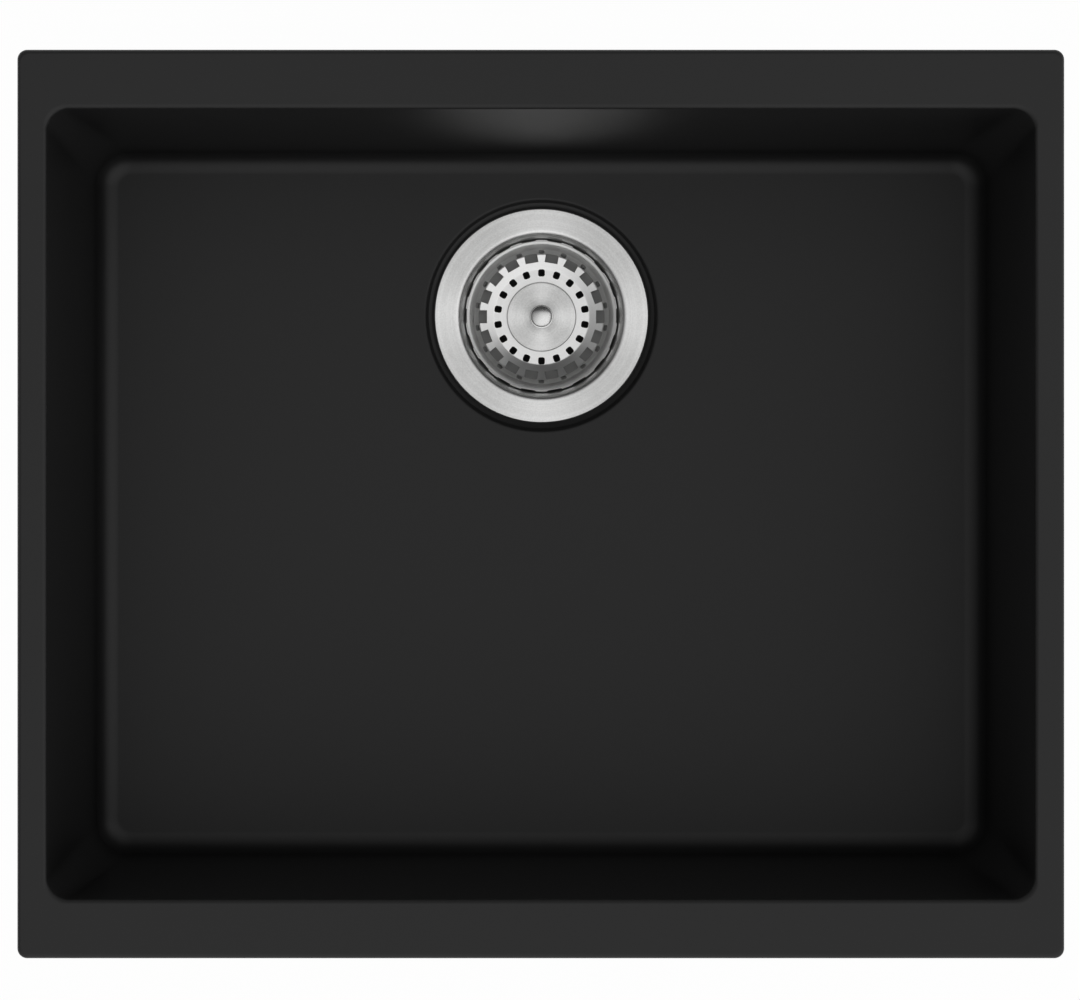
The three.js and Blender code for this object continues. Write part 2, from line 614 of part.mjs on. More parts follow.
function tailpiece() {
  const endZ = TAILPIECE_SHOULDER_Z - TAILPIECE_LENGTH;
  const top = TAILPIECE_SHOULDER_Z + TAILPIECE_FLANGE_THICKNESS;
  return turned([
    [TAILPIECE_BORE_RADIUS, endZ],
    [TAILPIECE_RADIUS, endZ],
    [TAILPIECE_RADIUS, TAILPIECE_SHOULDER_Z],
    [OUTLET_RADIUS, TAILPIECE_SHOULDER_Z],
    [OUTLET_RADIUS, top],
    [TAILPIECE_BORE_RADIUS, top],
  ]);
}

function couplingNut() {
  const threadRadius = OUTLET_RADIUS + FIT_GAP;
  const nutRadius = threadRadius + COUPLING_NUT_WALL;
  const lipRadius = TAILPIECE_RADIUS + FIT_GAP;
  const bottom = COUPLING_NUT_LIP_Z - COUPLING_NUT_LIP;
  const top = bottom + COUPLING_NUT_HEIGHT;
  const bevel = COUPLING_NUT_LIP / 2;
  const body = turned([
    [lipRadius, bottom],
    [nutRadius - bevel, bottom],
    [nutRadius, bottom + bevel],
    [nutRadius, top],
    [threadRadius, top],
    [threadRadius, COUPLING_NUT_LIP_Z],
    [lipRadius, COUPLING_NUT_LIP_Z],
  ]);
  const ribs = ribsRound({
    count: COUPLING_NUT_RIBS,
    width: COUPLING_NUT_RIB_WIDTH,
    radius: nutRadius,
    reach: COUPLING_NUT_RIB_REACH,
    bottom: COUPLING_NUT_LIP_Z,
    top,
  });
  return solidOf(body).add(ribs);
}

addPiece("flange_gasket", flangeGasket(), FOAM_RUBBER, strainer);
addPiece("sink_gasket", sinkGasket(), BLACK_RUBBER, strainer);
addPiece("friction_washer", frictionWasher(), FIBRE, strainer);
addPiece("lock_nut", geometryOf(lockNut()), GREY_METAL, strainer);
addPiece("tail_washer", tailWasher(), WHITE_PLASTIC, strainer);
addPiece("tailpiece", tailpiece(), POLISHED_STEEL, strainer);
addPiece("coupling_nut", geometryOf(couplingNut()), WHITE_PLASTIC, strainer);

// ---------------------------------------------------------------- basket

// The outline of a pressed sheet: its upper face from the middle outwards, then back along its
// lower face, a sheet's thickness away all round.
function sheetOutline(upper, thickness) {
  const directions = upper.slice(1).map(([x, y], i) => Math.atan2(y - upper[i][1], x - upper[i][0]));
  const lower = upper.map(([x, y], i) => {
    const before = directions[Math.max(i - 1, 0)];
    const after = directions[Math.min(i, directions.length - 1)];
    const outward = (before + after - Math.PI) / 2;
    const reach = thickness / Math.cos((after - before) / 2);
    return [x + reach * Math.cos(outward), y + reach * Math.sin(outward)];
  });
  return [...upper, ...lower.reverse()];
}

function basketCup() {
  const footRadius = BASKET_FLOOR_RADIUS + SHOULDER_WIDTH;
  const footZ = BASKET_FLOOR_Z + SHOULDER_RISE;
  const upperFace = [
    [STEM_FIT_RADIUS, BASKET_FLOOR_Z],
    [BASKET_FLOOR_RADIUS, BASKET_FLOOR_Z],
    [footRadius, footZ],
    [BASKET_RIM_RADIUS - BASKET_RIM_WIDTH, BASKET_RIM_Z],
    [BASKET_RIM_RADIUS, BASKET_RIM_Z],
  ];

  const slotX = (SLOT_OUTER_RADIUS + SLOT_INNER_RADIUS) / 2;
  const slot = box(SLOT_LENGTH, SLOT_WIDTH, 4 * SHEET, slotX, 0, BASKET_FLOOR_Z);

  const cutDepth = BASKET_RIM_RADIUS - WINDOW_INNER_RADIUS + CUT_PAST;
  const cutX = WINDOW_INNER_RADIUS + cutDepth / 2;
  const windowFoot = BASKET_UNDERSIDE_Z - CUT_PAST;
  const windowHead = footZ + WINDOW_TOP;
  const windowZ = (windowFoot + windowHead) / 2;
  const window = box(cutDepth, WINDOW_WIDTH, windowHead - windowFoot, cutX, 0, windowZ);

  const holeZ = footZ + HOLE_FOOT + HOLE_HEIGHT / 2;
  const hole = box(cutDepth, HOLE_WIDTH, HOLE_HEIGHT, cutX, 0, holeZ);

  const notchX = BASKET_RIM_RADIUS + CUT_PAST;
  const notchReach = 2 * (NOTCH_DEPTH + CUT_PAST);
  const notch = box(notchReach, NOTCH_WIDTH, 4 * SHEET, notchX, 0, BASKET_RIM_Z);

  const firstSlot = 90; // one slot points straight to the back
  const firstWindow = firstSlot + 180 / PERFORATIONS;
  return solidOf(turned(sheetOutline(upperFace, SHEET), BASKET_ROUND))
    .subtract(roundZ(slot, PERFORATIONS, firstSlot))
    .subtract(roundZ(window, PERFORATIONS, firstWindow))
    .subtract(roundZ(notch, PERFORATIONS, firstWindow))
    .subtract(roundZ(hole, PERFORATIONS, firstSlot));
}

function basketDisc() {
  const top = DISC_Z + DISC_THICKNESS;
  const bevel = DISC_THICKNESS / 3;
  return turned([
    [STEM_FIT_RADIUS, DISC_Z],
    [DISC_RADIUS, DISC_Z],
    [DISC_RADIUS, top - bevel],
    [DISC_RADIUS - bevel, top],
    [STEM_FIT_RADIUS, top],
  ]);
}

addPiece("basket_cup", geometryOf(basketCup()), POLISHED_STEEL, strainer);
addPiece("basket_disc", basketDisc(), BRUSHED_STEEL, strainer);

// ---------------------------------------------------------------- plug

// The knob and its stem are one turned piece. The stem ends in a groove for the catch and a
// head that keeps the catch on.
function pullKnob() {
  const top = KNOB_Z + KNOB_HEIGHT;
  const neckRadius = STEM_RADIUS + KNOB_NECK;
  const crown = KNOB_RADIUS / 3;
  const grooveTop = CATCH_TOP_Z + SEAT_GAP;
  const grooveEnd = CATCH_Z - SEAT_GAP;
  const end = grooveEnd - STEM_HEAD_HEIGHT;
  return turned(
    [
      [0, top],
      ...arc(KNOB_RADIUS - crown, top - crown, crown, Math.PI / 2, 0, 3),
      [KNOB_RADIUS, top - KNOB_HEIGHT / 3],
      [neckRadius, top - KNOB_HEIGHT / 2],
      [neckRadius, KNOB_Z + KNOB_HEIGHT / 6],
      [KNOB_RADIUS, KNOB_Z],
      [STEM_RADIUS, KNOB_Z],
      [STEM_RADIUS, grooveTop],
      [STEM_TIP_RADIUS, grooveTop],
      [STEM_TIP_RADIUS, grooveEnd],
      [STEM_RADIUS, grooveEnd],
      [STEM_RADIUS, end],
      [0, end],
    ],
    ROUND_STEM,
  );
}

function stemSpacer() {
  const top = SPACER_Z + SPACER_HEIGHT;
  return ring(STEM_FIT_RADIUS, STEM_FIT_RADIUS + SPACER_WALL, SPACER_Z, top, ROUND_STEM);
}

function stopperPlate() {
  const top = STOPPER_PLATE_Z + STOPPER_PLATE_THICKNESS;
  return ring(STEM_FIT_RADIUS, STOPPER_PLATE_RADIUS, STOPPER_PLATE_Z, top);
}

function stopperSeal() {
  const top = STOPPER_Z + STOPPER_THICKNESS;
  const lip = STOPPER_THICKNESS / 4;
  return turned([
    [STEM_FIT_RADIUS, STOPPER_Z],
    [STOPPER_RADIUS - lip, STOPPER_Z],
    [STOPPER_RADIUS, STOPPER_Z + lip],
    [STOPPER_RADIUS - lip, STOPPER_Z + 2 * lip],
    [STOPPER_PLATE_RADIUS + lip, top],
    [STEM_FIT_RADIUS, top],
  ]);
}

function stemNut() {
  const flats = 6;
  const acrossFlats = 2 * (STEM_FIT_RADIUS + STEM_NUT_WALL);
  const cornerRadius = acrossFlats / 2 / Math.cos(Math.PI / flats);
  const top = STEM_NUT_Z + STEM_NUT_HEIGHT;
  const body = solidOf(ring(0, cornerRadius, STEM_NUT_Z, top, flats));
  return body.subtract(stemHole(STEM_NUT_Z, top));
}

// A split spring ring in the stem's groove, drawn as it is when squeezed to pass the crossbar.
function stemCatch() {
  const outerRadius = STEM_FIT_RADIUS - CATCH_CLEARANCE;
  return ring(STEM_TIP_RADIUS + SEAT_GAP, outerRadius, CATCH_Z, CATCH_TOP_Z, ROUND_STEM);
}

addPiece("pull_knob", pullKnob(), POLISHED_STEEL, strainer);
addPiece("stem_spacer", stemSpacer(), WHITE_PLASTIC, strainer);
addPiece("stopper_plate", stopperPlate(), POLISHED_STEEL, strainer);
addPiece("stopper_seal", stopperSeal(), BLACK_RUBBER, strainer);
addPiece("stem_nut", geometryOf(stemNut()), BRASS, strainer);
addPiece("stem_catch", stemCatch(), BRASS, strainer);

// ---------------------------------------------------------------- clips

// The strip's side view: the pivot pad lies against the boss, and a step raises the outer pad
// towards the worktop.
function clipStrip() {
  const low = CLIP_TOP_Z - CLIP_THICKNESS;
  const side = new THREE.Shape();
  side.moveTo(-CLIP_WIDTH / 2, low);
  side.lineTo(CLIP_STEP_START, low);
  side.lineTo(CLIP_STEP_END, low + CLIP_STEP);
  side.lineTo(CLIP_REACH, low + CLIP_STEP);
  side.lineTo(CLIP_REACH, CLIP_TOP_Z + CLIP_STEP);
  side.lineTo(CLIP_STEP_END, CLIP_TOP_Z + CLIP_STEP);
  side.lineTo(CLIP_STEP_START, CLIP_TOP_Z);
  side.lineTo(-CLIP_WIDTH / 2, CLIP_TOP_Z);
  side.closePath();
  return new THREE.ExtrudeGeometry(side, { depth: CLIP_WIDTH, bevelEnabled: false })
    .rotateX(Math.PI / 2)
    .translate(0, CLIP_WIDTH / 2, 0);
}

// A long outline with a half circle at each end, between two points on the X axis.
function stadium(path, startX, endX, radius) {
  path.absarc(endX - radius, 0, radius, -Math.PI / 2, Math.PI / 2);
  path.absarc(startX + radius, 0, radius, Math.PI / 2, (3 * Math.PI) / 2);
  path.closePath();
  return path;
}

// The strip trimmed to its outline from above. Its long end points along +X.
function clipBar() {
  const endRadius = CLIP_WIDTH / 2;
  const plan = stadium(new THREE.Shape(), -endRadius, CLIP_REACH, endRadius);
  const pivotHole = new THREE.Path().absarc(0, 0, SCREW_FIT_RADIUS, 0, 2 * Math.PI);
  const slot = stadium(new THREE.Path(), CLIP_SLOT_START, CLIP_SLOT_END, CLIP_SLOT_WIDTH / 2);
  plan.holes.push(pivotHole, slot);
  const bottom = CLIP_TOP_Z - CLIP_THICKNESS - CUT_PAST;
  const top = CLIP_TOP_Z + CLIP_STEP + CUT_PAST;
  const outline = new THREE.ExtrudeGeometry(plan, {
    depth: top - bottom,
    bevelEnabled: false,
    curveSegments: ROUND_FASTENER / 2,
  }).translate(0, 0, bottom);
  return solidOf(clipStrip()).intersect(solidOf(outline));
}

function threadedInsert() {
  const top = BOSS_FACE_Z + INSERT_LENGTH;
  return ring(SCREW_FIT_RADIUS, INSERT_RADIUS, BOSS_FACE_Z, top, ROUND_FASTENER);
}

function clipWasher() {
  const outerRadius = SCREW_HEAD_RADIUS + WASHER_EDGE;
  const top = WASHER_Z + WASHER_THICKNESS;
  return ring(SCREW_FIT_RADIUS, outerRadius, WASHER_Z, top, ROUND_FASTENER);
}

function clipScrew() {
  const end = SCREW_SHOULDER_Z + SCREW_LENGTH;
  const headZ = SCREW_SHOULDER_Z - SCREW_HEAD_HEIGHT;
  return turned(
    [
      [0, end],
      [SCREW_RADIUS, end],
      [SCREW_RADIUS, SCREW_SHOULDER_Z],
      [SCREW_HEAD_RADIUS, SCREW_SHOULDER_Z],
      [SCREW_HEAD_RADIUS, headZ + SCREW_HEAD_HEIGHT / 2],
      [SCREW_HEAD_RADIUS / 2, headZ],
      [0, headZ],
    ],
    ROUND_FASTENER,
  );
}

for (const { name, x, side, parked } of CLIPS) {
  const place = new THREE.Group();
  place.position.set(x, side * PIVOT_Y, 0);
  place.rotation.z = parked > 0 ? 0 : Math.PI;
  sink.add(place);
  addPiece(`clip_${name}`, geometryOf(clipBar()), ZINC_STEEL, place);
  addPiece(`insert_${name}`, threadedInsert(), BRASS, place);
  addPiece(`washer_${name}`, clipWasher(), ZINC_STEEL, place);
  addPiece(`screw_${name}`, clipScrew(), ZINC_STEEL, place);
}

export default sink;
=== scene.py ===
"""The looks of an undermount kitchen sink in black stone composite, seen from straight above."""

import math

import bmesh
import bpy
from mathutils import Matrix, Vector


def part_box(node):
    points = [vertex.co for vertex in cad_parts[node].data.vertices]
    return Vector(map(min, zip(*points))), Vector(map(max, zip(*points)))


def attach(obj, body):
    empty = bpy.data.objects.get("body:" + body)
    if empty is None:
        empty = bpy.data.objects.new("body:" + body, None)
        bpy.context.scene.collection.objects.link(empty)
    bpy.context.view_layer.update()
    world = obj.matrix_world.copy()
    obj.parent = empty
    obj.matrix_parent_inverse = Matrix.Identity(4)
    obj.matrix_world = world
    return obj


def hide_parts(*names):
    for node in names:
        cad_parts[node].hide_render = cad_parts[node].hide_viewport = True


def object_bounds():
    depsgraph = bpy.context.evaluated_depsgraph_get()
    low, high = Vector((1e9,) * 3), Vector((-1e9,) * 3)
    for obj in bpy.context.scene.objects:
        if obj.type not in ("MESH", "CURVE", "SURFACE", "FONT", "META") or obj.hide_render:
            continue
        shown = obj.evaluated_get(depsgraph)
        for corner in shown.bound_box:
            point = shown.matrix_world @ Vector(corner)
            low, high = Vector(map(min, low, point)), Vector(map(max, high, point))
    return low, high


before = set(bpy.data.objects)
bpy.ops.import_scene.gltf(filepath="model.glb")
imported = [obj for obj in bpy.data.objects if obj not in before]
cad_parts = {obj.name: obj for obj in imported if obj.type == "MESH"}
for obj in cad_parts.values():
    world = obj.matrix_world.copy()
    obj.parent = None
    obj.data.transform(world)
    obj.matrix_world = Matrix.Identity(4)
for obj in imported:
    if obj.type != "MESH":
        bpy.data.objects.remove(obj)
cad_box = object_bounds()

# ---------------------------------------------------------------- sink bowl
# One moulding of quartz grains in black acrylic. Its flat rim is glued and clamped under the
# worktop, its walls lean in a little towards the floor, and the floor falls to the drain.

MM = 0.001
bowl_low, bowl_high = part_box("sink_bowl")
flange_low, flange_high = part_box("strainer_body")
RIM_WIDTH_SIDE = 15 * MM
MOUTH_HALF_X = bowl_high.x - RIM_WIDTH_SIDE
MOUTH_HALF_Y = 200 * MM
RIM_THICKNESS = 10 * MM
WALL_THICKNESS = 8 * MM
WALL_DRAFT = math.radians(4.2)
MOUTH_CORNER = 11 * MM
FOOT_CORNER = 18 * MM  # the upright corners widen down to the foot of the walls
RIM_CORNER = 5 * MM
DRAIN_Y = (flange_low.y + flange_high.y) / 2
RECESS_RADIUS = 57.8 * MM
RECESS_MOUTH_RADIUS = 62 * MM
RECESS_FLOOR_Z = -194 * MM
DRAIN_HOLE_RADIUS = 45 * MM
LEVEL = 0.01 * MM  # points closer in height than this are level
WELD = 0.002 * MM  # points closer than this become one


def put_down():
    """Leaves the piece in hand, with nothing selected."""
    if bpy.context.mode != "OBJECT":
        bpy.ops.object.mode_set(mode="OBJECT")
    bpy.ops.object.select_all(action="DESELECT")


def take_up(piece):
    """Takes a piece in hand, on its own."""
    put_down()
    piece.select_set(True)
    bpy.context.view_layer.objects.active = piece


def begin(name):
    """Starts a new piece: the primitive just added, named and opened for editing."""
    piece = bpy.context.object
    piece.name = name
    piece.data.name = name
    bpy.ops.object.transform_apply(location=True, rotation=True, scale=True)
    bpy.ops.object.mode_set(mode="EDIT")
    bpy.ops.mesh.select_mode(type="VERT")
    bpy.ops.mesh.select_all(action="SELECT")
    return piece


def pick(kind, test):
    """Selects only those vertices, edges or faces of the piece in hand whose middle passes."""
    bpy.ops.mesh.select_mode(type=kind)
    bpy.ops.mesh.select_all(action="DESELECT")
    mesh = bmesh.from_edit_mesh(bpy.context.object.data)
    mesh.normal_update()
    parts = {"VERT": mesh.verts, "EDGE": mesh.edges, "FACE": mesh.faces}[kind]
    for part in parts:
        part.select_set(bool(test(part)))
    bmesh.update_edit_mesh(bpy.context.object.data)


def level_loop(z, accept=lambda point: True):
    """A test for edges that lie level at a height, at places that pass another test."""

    def test(edge):
        return all(abs(v.co.z - z) < LEVEL and accept(v.co) for v in edge.verts)

    return test


def apply_modifier(piece, kind, **settings):
    """Adds a modifier to a piece and applies it."""
    take_up(piece)
    bpy.ops.object.modifier_add(type=kind)
    modifier = piece.modifiers[-1]
    for setting, value in settings.items():
        setattr(modifier, setting, value)
    bpy.ops.object.modifier_apply(modifier=modifier.name)


def finish_shape(piece, smooth_angle=32):
    """Closes the editing of a piece: smooth faces, with crisp edges past an angle."""
    take_up(piece)
    bpy.ops.object.shade_smooth_by_angle(angle=math.radians(smooth_angle))
    apply_modifier(piece, "WEIGHTED_NORMAL", keep_sharp=True, weight=100)
    return piece


def carve(piece, tool, operation="DIFFERENCE"):
    """Cuts a tool out of a piece, or joins it on, and throws the tool away."""
    apply_modifier(piece, "BOOLEAN", operation=operation, solver="MANIFOLD", object=tool)
    bpy.data.objects.remove(tool, do_unlink=True)


def arc(centre_r, centre_z, radius, start, end, steps):
    """Points of a round stretch of an outline, from one angle in degrees to another."""
    angles = [math.radians(start + (end - start) * i / steps) for i in range(steps + 1)]
    return [(centre_r + radius * math.cos(a), centre_z + radius * math.sin(a)) for a in angles]


def bend(corner, start, end, radius, steps=4):
    """Rounds the corner between two straight runs, which go off towards two points."""
    here = Vector(corner)
    ways = [(Vector(point) - here).normalized() for point in (start, end)]
    half = ways[0].angle(ways[1]) / 2
    middle = here + (ways[0] + ways[1]).normalized() * radius / math.sin(half)
    reach = radius / math.tan(half)
    first, last = [here + way * reach - middle for way in ways]
    turn = first.angle_signed(last)
    points = []
    for step in range(steps + 1):
        angle = math.atan2(first.y, first.x) - turn * step / steps
        points.append((middle.x + radius * math.cos(angle), middle.y + radius * math.sin(angle)))
    return points


def draw_outline(name, outline, centre):
    """Draws an outline of distance out and height, in millimetres, from a centre in metres. It
    closes on itself, or starts and ends on the upright axis."""
    x, y = centre
    path = list(outline) if outline[0][0] == 0 else [*outline, outline[0]]
    out, height = path[0]
    put_down()
    bpy.ops.mesh.primitive_plane_add(size=MM, location=(x + out * MM, y, height * MM))
    piece = begin(name)
    bpy.ops.mesh.merge(type="CENTER")
    for (x0, z0), (x1, z1) in zip(path, path[1:]):
        move = ((x1 - x0) * MM, 0, (z1 - z0) * MM)
        bpy.ops.mesh.extrude_vertices_move(TRANSFORM_OT_translate={"value": move})
    bpy.ops.mesh.select_all(action="SELECT")
    return piece


def turned(name, outline, steps, centre=(0, 0)):
    """A turned piece: an outline spun round the upright axis through its centre."""
    x, y = centre
    piece = draw_outline(name, outline, centre)
    bpy.ops.mesh.spin(steps=steps, angle=math.tau, center=(x, y, 0), axis=(0, 0, 1))
    bpy.ops.mesh.select_all(action="SELECT")
    bpy.ops.mesh.remove_doubles(threshold=WELD)
    bpy.ops.mesh.normals_make_consistent(inside=False)
    return piece


def draw_face(z, half_x, half_y, corner):
    """Draws the selected face on to its next level, and gives it its size and corners there."""
    data = bpy.context.object.data
    outline = [v.co.copy() for v in bmesh.from_edit_mesh(data).verts if v.select]
    old_x = max(point.x for point in outline)
    old_y = max(point.y for point in outline)
    old_corner = old_x - max(point.x for point in outline if point.y > old_y - WELD)
    rise = {"value": (0, 0, z - outline[0].z)}
    bpy.ops.mesh.extrude_region_move(TRANSFORM_OT_translate=rise)
    grow_x, grow_y = half_x / old_x, half_y / old_y
    bpy.ops.transform.resize(value=(grow_x, grow_y, 1), center_override=(0, 0, z))
    cap = next(face.index for face in bmesh.from_edit_mesh(data).faces if face.select)
    reach = 1.5 * max(corner, old_corner)
    for tip in [Vector((x, y, z)) for x in (-half_x, half_x) for y in (-half_y, half_y)]:
        pick("FACE", lambda face: face.index == cap)
        mesh = bmesh.from_edit_mesh(data)
        mesh.faces.ensure_lookup_table()
        ends = set(mesh.faces[cap].verts)
        pick("VERT", lambda v: v in ends and (v.co - tip).length < reach)
        round_off = (corner / (old_corner * grow_x), corner / (old_corner * grow_y), 1)
        bpy.ops.transform.resize(value=round_off, center_override=tip)
    pick("FACE", lambda face: face.index == cap)


FLOOR_FALL = 0.008  # towards the drain, all round
SIDE_CUTS = 11  # along each side, where the fall bends the floor's edge
CORNER_STEPS = 12
FLOOR_FILLET = 11 * MM
floor_edge = RECESS_FLOOR_Z + 4 * MM
rim_half_x, rim_half_y = bowl_high.x, bowl_high.y


def wall_inside(z):
    """The inner wall's half sizes and corner radius at a height."""
    drawn_in = math.tan(WALL_DRAFT) * z
    corner = MOUTH_CORNER + (FOOT_CORNER - MOUTH_CORNER) * z / floor_edge
    return MOUTH_HALF_X + drawn_in, MOUTH_HALF_Y + drawn_in, corner


def wall_outside(z):
    """The outer wall's half sizes and corner radius at a height."""
    return [size + WALL_THICKNESS for size in wall_inside(z)]


# The moulding is drawn in one go from a rounded plate: up its outside, out and over the rim, and
# down its inside to the floor. Then its edges are rounded.
underside = bowl_low.z
half_x, half_y, corner = wall_outside(underside)
put_down()
bpy.ops.mesh.primitive_plane_add(size=1, location=(0, 0, underside))
bpy.context.object.scale = (2 * half_x, 2 * half_y, 1)
bowl = begin("bowl_moulding")
bpy.ops.mesh.bevel(offset=corner, segments=CORNER_STEPS, profile=0.5, affect="VERTICES")
pick("EDGE", lambda edge: edge.calc_length() > corner)
bpy.ops.mesh.subdivide(number_cuts=SIDE_CUTS)
pick("FACE", lambda face: True)
draw_face(-RIM_THICKNESS, *wall_outside(-RIM_THICKNESS))
draw_face(-RIM_THICKNESS, rim_half_x, rim_half_y, RIM_CORNER)
draw_face(0, rim_half_x, rim_half_y, RIM_CORNER)
draw_face(0, MOUTH_HALF_X, MOUTH_HALF_Y, MOUTH_CORNER)
draw_face(floor_edge, *wall_inside(floor_edge))


def over_wall(point):
    """Whether a point lies no further out than the moulding's walls."""
    reach = WALL_THICKNESS + MM
    return abs(point.x) < MOUTH_HALF_X + reach and abs(point.y) < MOUTH_HALF_Y + reach


def past_wall(point):
    """Whether a point lies further out than the moulding's walls."""
    return not over_wall(point)


RIM_EDGE = 2.6 * MM
rounded_edges = [  # the height of the edges, where they are, their radius and steps
    (floor_edge, over_wall, FLOOR_FILLET, 10),
    (underside, over_wall, 20 * MM, 8),
    (-RIM_THICKNESS, over_wall, 5 * MM, 5),
    (-RIM_THICKNESS, past_wall, 2 * MM, 4),
    (0, over_wall, RIM_EDGE, 6),
    (0, past_wall, RIM_EDGE, 6),
]
for z, accept, radius, steps in rounded_edges:
    pick("EDGE", level_loop(z, accept))
    bpy.ops.mesh.bevel(offset=radius, segments=steps, profile=0.5)

# The floor falls to the drain as a very shallow cone, and the fillet follows it up.
floor_mesh = bmesh.from_edit_mesh(bowl.data)
fillet_top = floor_edge + 1.2 * FLOOR_FILLET
for point in [v.co for v in floor_mesh.verts if floor_edge - MM < v.co.z < fillet_top]:
    if abs(point.x) < MOUTH_HALF_X - 5 * MM and abs(point.y) < MOUTH_HALF_Y - 5 * MM:
        point.z += FLOOR_FALL * math.hypot(point.x, point.y - DRAIN_Y)
bmesh.update_edit_mesh(bowl.data)
pick("FACE", lambda face: face.normal.z > 0.9 and face.calc_center_median().z < fillet_top)
floor_faces = [face for face in bmesh.from_edit_mesh(bowl.data).faces if face.select]
floor_cap = max(floor_faces, key=lambda face: face.calc_area())
floor_points = len(floor_cap.verts)
cap_index = floor_cap.index
pick("FACE", lambda face: face.index == cap_index)
bpy.ops.mesh.delete(type="ONLY_FACE")
ring_radius = RECESS_MOUTH_RADIUS + 3 * MM
ring_place = (0, DRAIN_Y, floor_edge + FLOOR_FALL * ring_radius)
bpy.ops.mesh.primitive_circle_add(vertices=floor_points, radius=ring_radius, location=ring_place)
pick("EDGE", lambda edge: edge.is_boundary or edge.is_wire)
bpy.ops.mesh.bridge_edge_loops()
pick("EDGE", lambda edge: edge.is_boundary)
bpy.ops.mesh.edge_face_add()
bpy.ops.mesh.select_all(action="SELECT")
bpy.ops.mesh.normals_make_consistent(inside=False)

# The recess for the strainer's flange and the hole for its sleeve, cut with one turned tool. Round
# the flange runs a narrow sloping ledge, and the side above it meets the floor in a soft edge.
recess_foot, recess_mouth = RECESS_RADIUS / MM, RECESS_MOUTH_RADIUS / MM
recess_z = RECESS_FLOOR_Z / MM
mouth_z = (floor_edge + FLOOR_FALL * RECESS_MOUTH_RADIUS) / MM
ledge_start = (recess_foot, floor_edge / MM - 2.4)
ledge_end = (recess_foot + 2.4, ledge_start[1] + 1.1)
flare = math.degrees(math.atan2(mouth_z - ledge_end[1], recess_mouth - ledge_end[0]))
LIP = 2  # radius of the recess's soft edge, in millimetres
lip_r = recess_mouth + LIP * math.tan(math.radians(flare / 2))
recess_tool = [
    (0, underside / MM - 5),
    (DRAIN_HOLE_RADIUS / MM, underside / MM - 5),
    (DRAIN_HOLE_RADIUS / MM, recess_z),
    (recess_foot, recess_z),
    ledge_start,
    *bend(ledge_end, ledge_start, (recess_mouth, mouth_z), 1.0),
    *arc(lip_r, mouth_z - LIP, LIP, 90 + flare, 90, 5),
    (lip_r, mouth_z + 1),
    (0, mouth_z + 1),
]
carve(bowl, turned("recess_tool", recess_tool, 144, (0, DRAIN_Y)))


def centre_of(box):
    """The middle of a solid, seen from above."""
    low, high = box
    return (low.x + high.x) / 2, (low.y + high.y) / 2


def drill(piece, radius, foot, top, centre=(0, 0)):
    """Drills a round hole, from one height to another."""
    rod = [(0, foot), (radius, foot), (radius, top), (0, top)]
    carve(piece, turned("drill", rod, 32, centre))


# Round bosses under the rim take the threaded inserts of the clips.
RIMS, ALONG = ("back", "front"), ("left", "centre", "right")
CLIP_NAMES = [f"{rim}_{place}" for rim in RIMS for place in ALONG]
CLIP_PLACES = {name: centre_of(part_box(f"insert_{name}")) for name in CLIP_NAMES}
for spot in CLIP_PLACES.values():
    boss = [(0, -7), (8, -7), *arc(7, -15, 1, 0, -90, 3), (0, -16)]
    carve(bowl, turned("boss_tool", boss, 48, spot), "UNION")
    drill(bowl, 4.5, -17, -5, spot)
finish_shape(bowl)


class Measure:
    """A value that changes over a surface. Sums and products of it add the nodes for them."""

    def __init__(self, nodes, socket):
        self.nodes = nodes
        self.socket = socket

    def _with(self, operation, first, second):
        return self.nodes.node("ShaderNodeMath", {"operation": operation}, {0: first, 1: second})

    def __add__(self, other):
        return self._with("ADD", self, other)

    def __sub__(self, other):
        return self._with("SUBTRACT", self, other)

    def __rsub__(self, other):
        return self._with("SUBTRACT", other, self)

    def __mul__(self, other):
        return self._with("MULTIPLY", self, other)

    def __pow__(self, other):
        return self._with("POWER", self, other)

    __radd__ = __add__
    __rmul__ = __mul__


class Nodes:
    """The nodes of one finish or of the room."""

    def __init__(self, tree):
        self.tree = tree

    def node(self, kind, settings=None, inputs=None, output=0):
        """Adds a node: its settings first, then the values or links of its sockets."""
        made = self.tree.nodes.new(kind)
        for setting, value in (settings or {}).items():
            if setting == "stops":
                self._set_stops(made.color_ramp, value)
            else:
                setattr(made, setting, value)
        for socket, value in (inputs or {}).items():
            self.connect(value, made.inputs[socket])
        return Measure(self, made.outputs[output])

    def connect(self, value, socket):
        """Links a changing value to a socket, or sets an even one on it."""
        if isinstance(value, Measure):
            self.tree.links.new(value.socket, socket)
        else:
            socket.default_value = value

    def _set_stops(self, ramp, stops):
        while len(ramp.elements) < len(stops):
            ramp.elements.new(0.5)
        for element, (position, grey) in zip(ramp.elements, stops):
            element.position = position
            element.color = (grey, grey, grey, 1)

    def step(self, value, start, end):
        """Rises from 0 to 1 as a value goes from a start to an end."""
        span = {"Value": value, "From Min": start, "From Max": end}
        return self.node("ShaderNodeMapRange", {}, span)

    def larger(self, first, second):
        return self.node("ShaderNodeMath", {"operation": "MAXIMUM"}, {0: first, 1: second})


